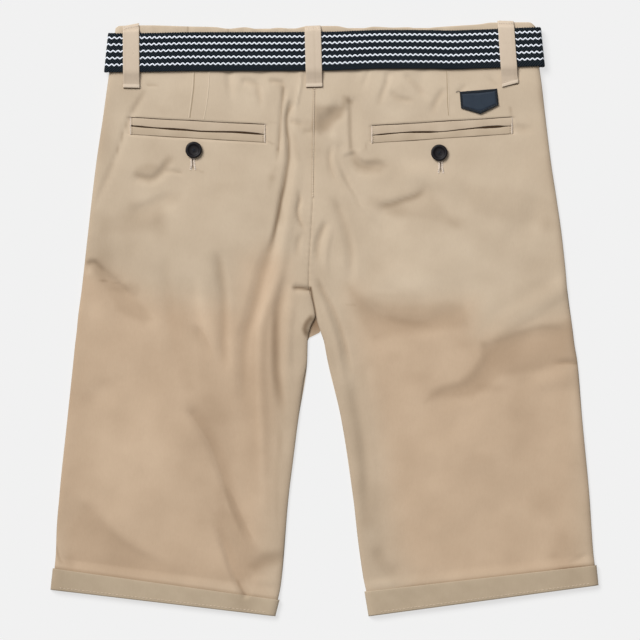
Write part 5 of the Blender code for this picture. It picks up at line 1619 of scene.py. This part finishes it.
# ---- Buttons and patch ----
def turned_button(side):
    """A button with a raised rim, a dished middle and four holes, as a mesh round its own middle."""
    profile = smooth_line(BUTTON_PROFILE, BUTTON_PITCH)
    mesh = bpy.data.meshes.new("profile")
    edges = [(k, k + 1) for k in range(len(profile) - 1)]
    mesh.from_pydata([(x * MM, 0, z * MM) for x, z in profile], edges, [])
    made = linked(f"button_{side}_turned", mesh)
    turned = made.modifiers.new("turned", "SCREW")
    turned.steps = turned.render_steps = BUTTON_STEPS
    turned.use_merge_vertices = True
    turned.merge_threshold = 0.04 * MM
    holes = Pile()
    for corner in range(4):
        angle = math.radians(45 + 90 * corner)
        x, y = (HOLE_PITCH / math.sqrt(2) * part for part in (math.cos(angle), math.sin(angle)))
        path = [(x, y + 0.001 * k, z) for k, z in enumerate((-BUTTON_THICK, 0, 2 * BUTTON_THICK))]
        tube(holes, path, HOLE_RADIUS, sides=HOLE_SIDES, tip=1.0)
    cutter = holes.build(f"button_{side}_cutter", horn, "button")
    drilled = made.modifiers.new("holes", "BOOLEAN")
    drilled.object = cutter
    graph = bpy.context.evaluated_depsgraph_get()
    final = bpy.data.meshes.new_from_object(made.evaluated_get(graph))
    bpy.data.objects.remove(made)
    bpy.data.objects.remove(cutter)
    finished(final, horn, BUTTON_FOLD_ANGLE)
    return final


def make_button(side, panel_height, stitch_pile):
    """A button, the thread in its four holes, and the buttonhole below it."""
    low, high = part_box(f"button_{side}")
    seat = low.z / MM
    cx, cy = (low.x + high.x) / 2 / MM, (low.y + high.y) / 2 / MM
    button = linked(f"button_{side}_horn", turned_button(side))
    button.location = (cx * MM, cy * MM, seat * MM)
    button.rotation_euler.z = BUTTON_TURN
    dressed(button, f"button_{side}")
    threads = Pile()
    z = seat + BUTTON_DISH
    for turn in THREAD_TURNS:
        angle = math.radians(turn)
        dx, dy = THREAD_REACH * math.cos(angle), THREAD_REACH * math.sin(angle)
        for offset in (-THREAD_APART, THREAD_APART):
            x, y = cx - math.sin(angle) * offset, cy + math.cos(angle) * offset
            tube(threads, [(x + s * dx, y + s * dy, z + rise) for s, rise in THREAD_ARCH], THREAD_RADIUS)
    threads.build(f"button_{side}_thread", dark_thread, "button")
    # the buttonhole: two close rows of bars with a slit between them, wider at the end; the slit and its
    # notches are dark strands of painted shade
    top, foot = (np.array(p) for p in BUTTONHOLES[side])
    slit = Pile()
    for k in range(HOLE_BARS):
        share = k / (HOLE_BARS - 1)
        x, y = between(top, foot, share)
        spread = between(*HOLE_SPREAD, smooth((share - 0.6) / 0.2))
        for px in (x - spread, x + spread):
            z = panel_height(px, y) + 0.12
            lay_bar(stitch_pile, BUTTONHOLE_BAR, px, y, z)
            if share > 0.7 and k % 2:
                notch = [(px - 0.5, y + 0.3, z + 0.2), (px, y + 0.35, z + 0.42), (px + 0.5, y + 0.3, z + 0.2)]
                tube(slit, notch, 0.24)
    line = [between(top, foot, s) for s in np.linspace(0, 0.95, 10)]
    tube(slit, laid_on(panel_height, line, 0.1), 0.35, flat=0.5)
    slit.build(f"buttonhole_{side}_slit", deep_shade)


def patch_grid(inset=0.0):
    """Points on the patch, the share of its thickness there, and how far they are from its edge."""
    middle = np.array(PATCH_MIDDLE)
    along_top = np.array((math.cos(PATCH_TURN), math.sin(PATCH_TURN)))
    up = np.array((-along_top[1], along_top[0]))
    width = PATCH_WIDTH - 2 * inset
    u_share, u_wall = rounded(1.0, *PATCH_ACROSS)
    v_share, v_wall = rounded(1.0, *PATCH_DOWN)
    across = (2 * u_share - 1)[None, :, None]
    height = between(PATCH_POINT, PATCH_SIDE, np.abs(across)) - 2 * inset
    v = PATCH_POINT / 2 - inset - height * v_share[:, None, None]
    grid = middle + along_top * (across * width / 2) + up * v
    from_top = np.minimum(v_share, 1 - v_share) * PATCH_SIDE
    from_side = np.minimum(u_share, 1 - u_share) * width
    return grid, np.minimum.outer(v_wall, u_wall), np.minimum.outer(from_top, from_side)


def make_patch():
    """A bare leather patch, with a sewn border in dark thread."""
    grid, wall, from_edge = patch_grid()
    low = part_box("patch")[0].z / MM
    z = low + PATCH_LIFT + PATCH_WALL / 2 - BORDER_DEPTH * bell(from_edge - PATCH_BORDER, BORDER_REACH)
    tone = 1 - PATCH_EDGE_DARK * (1 - smooth((from_edge - PATCH_EDGE) / PATCH_EDGE_FADE))
    pile = Pile()
    shell(pile, with_height(grid, z), PATCH_WALL * wall, tone=tone)
    pile.build("patch_leather_piece", leather, "leather", "patch")

    def top(x, y):
        return low + 0.1 + PATCH_WALL

    inner, _, _ = patch_grid(PATCH_BORDER)
    point = inner[-1, inner.shape[1] // 2]
    corners = [inner[0, 0], inner[0, -1], inner[-1, -1], point, inner[-1, 0], inner[0, 0]]
    pile = Pile()
    for a, b in zip(corners, corners[1:]):
        stitches(pile, np.array([a, b]), top, PATCH_STITCH)
    corner_x, corner_y = grid[0, 0]
    loose = [(corner_x + dx, corner_y + dy, low + lift) for dx, dy, lift in LOOSE_THREAD]
    tube(pile, smooth_line(loose, THREAD_PITCH), LOOSE_THREAD_RADIUS)
    pile.build("patch_stitches", dark_thread, "leather")


# ---- Seams and other stitches ----
def make_centre_seam(panel_height):
    """The stitches of the centre-back seam."""
    table = np.array(BACK_LEFT[1:5])
    line = smooth_line(table[:, 2:4] + (SEAM_GAP / 2, 0), SEAM_PITCH)

    def seam_height(x, y):
        beside = [panel_height(x + away, y) for away in (-SEAM_STITCH_AWAY, SEAM_STITCH_AWAY)]
        return max(beside) + SEAM_STITCH_LIFT

    pile = Pile()
    stitches(pile, line, seam_height, SEAM_STITCH)
    pile.build("centre_seam_stitches", pale_thread)


def make_dart(name, line, furrow_shade_side, panel_height, shade_pile):
    """A dart's sewn edge: a fine ridge in a paler twill, a painted highlight, with a strand of painted shade
    for the furrow beside it.
    """
    line = smooth_line(line, DART_PITCH)
    pile = Pile()
    ribbon(pile, laid_on(panel_height, line, DART_LIFT), UP, *DART_RIDGE)
    if furrow_shade_side:
        ribbon(shade_pile, laid_on(panel_height, line + (furrow_shade_side, 0), DART_LIFT), UP, *DART_FURROW_SHADE)
    pile.build(name, dart_highlight_twill)


def make_cuff_stitches(side, cuff_height):
    section = SECTIONS[side][-1]
    outer, inner = np.array(section[0:2]), np.array(section[2:4])
    inwards = unit(inner - outer) * CUFF_STITCH_INSET
    shift = down_leg(outer, inner) * (CUFF_BELOW - CUFF_STITCH_UP)
    pile = Pile()
    stitches(pile, np.array([outer + inwards + shift, inner - inwards + shift]), cuff_height, CUFF_STITCH)
    return pile.build(f"cuff_stitches_{side}", cuff_thread)


def make_front_stitches():
    """The stitches beside the fly and along the two slanted pockets of the front, which lies face down."""
    def front_height(x, y):
        return float(along(FRONT_UNDERSIDE, y)) - 0.2

    sewn, edges = Pile(), Pile()
    stitches(sewn, smooth_line(FLY_STITCH, 1.0), front_height, FRONT_STITCH)
    for side in (-1, 1):
        edge = smooth_line([(side * x, y) for x, y in POCKET_EDGE], SEAM_PITCH)
        # a strand of painted shade along each pocket's slanted edge
        ribbon(edges, laid_on(front_height, edge, 0.08), -UP, *POCKET_EDGE_STRAND)
        for inset in FRONT_STITCH_INSETS:
            stitches(sewn, edge - (side * inset, 0), front_height, FRONT_STITCH)
    edges.build("front_pocket_edge_shades", seam_shadow)
    sewn.build("front_stitches", pale_thread)


# ---- Stage ----
def make_stage():
    """The paper that the shorts lie on, the light and the camera."""
    mesh = bpy.data.meshes.new("floor")
    corners = [(x * FLOOR_HALF, y * FLOOR_HALF, -FLOOR_DROP) for x, y in ((-1, -1), (1, -1), (1, 1), (-1, 1))]
    mesh.from_pydata(corners, [], [(0, 1, 2, 3)])
    floor = linked("floor", mesh)
    paper = bpy.data.materials.new("floor_paper")
    paper.use_nodes = True
    pale = srgb(*FLOOR_COLOUR)
    inputs = paper.node_tree.nodes["Principled BSDF"].inputs
    inputs["Base Color"].default_value = (*((1 - FLOOR_GLOW) * part for part in pale[:3]), 1.0)
    inputs["Emission Color"].default_value = pale
    inputs["Emission Strength"].default_value = FLOOR_GLOW
    inputs["Roughness"].default_value = 1.0
    inputs["Specular IOR Level"].default_value = 0.0
    mesh.materials.append(paper)

    scene = bpy.context.scene
    scene.world = bpy.data.worlds.new("studio")
    scene.world.use_nodes = True
    background = scene.world.node_tree.nodes["Background"].inputs
    background["Color"].default_value = (1, 1, 1, 1)
    background["Strength"].default_value = SKY

    sun = bpy.data.lights.new("softbox", "SUN")
    sun.energy = KEY
    sun.angle = math.radians(KEY_SIZE)
    linked("softbox", sun).rotation_euler = Vector(KEY_FROM).to_track_quat("Z", "Y").to_euler()

    lens = bpy.data.cameras.new("camera")
    lens.sensor_width = SENSOR_WIDTH
    lens.lens = SENSOR_WIDTH * CAMERA_HEIGHT / VIEW_WIDTH
    lens.clip_end = 20
    scene.camera = linked("camera", lens)
    scene.camera.location = (*VIEW_MIDDLE, CAMERA_HEIGHT)
    scene.view_settings.view_transform = "Standard"
    scene.view_settings.look = "None"


# ---- Materials of the pieces ----
make_stage()
twill = twill_material("twill", srgb(201, 182, 158), srgb(203, 178, 151))
dart_highlight_twill = twill_material("twill_dart_highlight", srgb(213, 196, 173))
cuff_twill = twill_material("twill_cuff", srgb(181, 163, 139))
pink_twill = twill_material("twill_loop", srgb(209, 191, 170))
welt_twill = twill_material("twill_upper_welt", srgb(198, 179, 156))
# the lower welt is the same twill in a darker copy: painted shade
shaded_low_welt_twill = twill_material("twill_lower_welt_shaded", srgb(192, 173, 149))
webbing = webbing_material()
white_yarn = thread_material("white_yarn", srgb(240, 245, 254))
pale_thread = thread_material("pale_thread", srgb(232, 217, 195))
cuff_thread = thread_material("cuff_thread", srgb(206, 188, 166))
tack_thread = thread_material("tack_thread", srgb(240, 226, 212))
dark_thread = thread_material("dark_thread", srgb(30, 34, 42))
leather = leather_material()
horn = button_material()
metal = metal_material()
deep_shade = shadow_material("pocket_mouth_shade", srgb(66, 48, 32))
painted_furrow_shade = shadow_material("painted_furrow_shade", srgb(172, 152, 127))
seam_shadow = shadow_material("seam_shadow", srgb(112, 90, 68))

# ---- Pieces ----
panels = {side: make_panels(side, sections) for side, sections in SECTIONS.items()}
cuffs = {side: make_cuff(side, sections) for side, sections in SECTIONS.items()}
band_back, *band_fronts = make_waistband()
belt, zigzags = make_belt()
bpy.context.view_layer.update()
panel_height = surface_of(*(back for back, _ in panels.values()))
cuff_height = surface_of(*(back for back, _ in cuffs.values()))

tacks, shadows, dart_shades = Pile(), Pile(), Pile()
back_loops = [make_back_loop(place, panel_height, tacks, shadows) for place in BACK_LOOPS]
front_loops = [make_front_loop(place) for place in FRONT_LOOPS]
for side, (back, front) in panels.items():
    welts = make_pocket(side, panel_height, tacks)
    make_button(side, panel_height, tacks)
    hem_stitches = make_cuff_stitches(side, cuff_height)
tacks.build("bar_tacks", tack_thread)
shadows.build("loop_shadows", seam_shadow)
make_patch()
make_centre_seam(panel_height)
for number, (line, furrow_shade_side) in enumerate(DARTS):
    make_dart(f"dart_{number + 1}", line, furrow_shade_side, panel_height, dart_shades)
dart_shades.build("dart_furrow_shades", painted_furrow_shade)
make_front_stitches()

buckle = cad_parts["belt_buckle"]
buckle.data.materials.clear()
buckle.data.materials.append(metal)
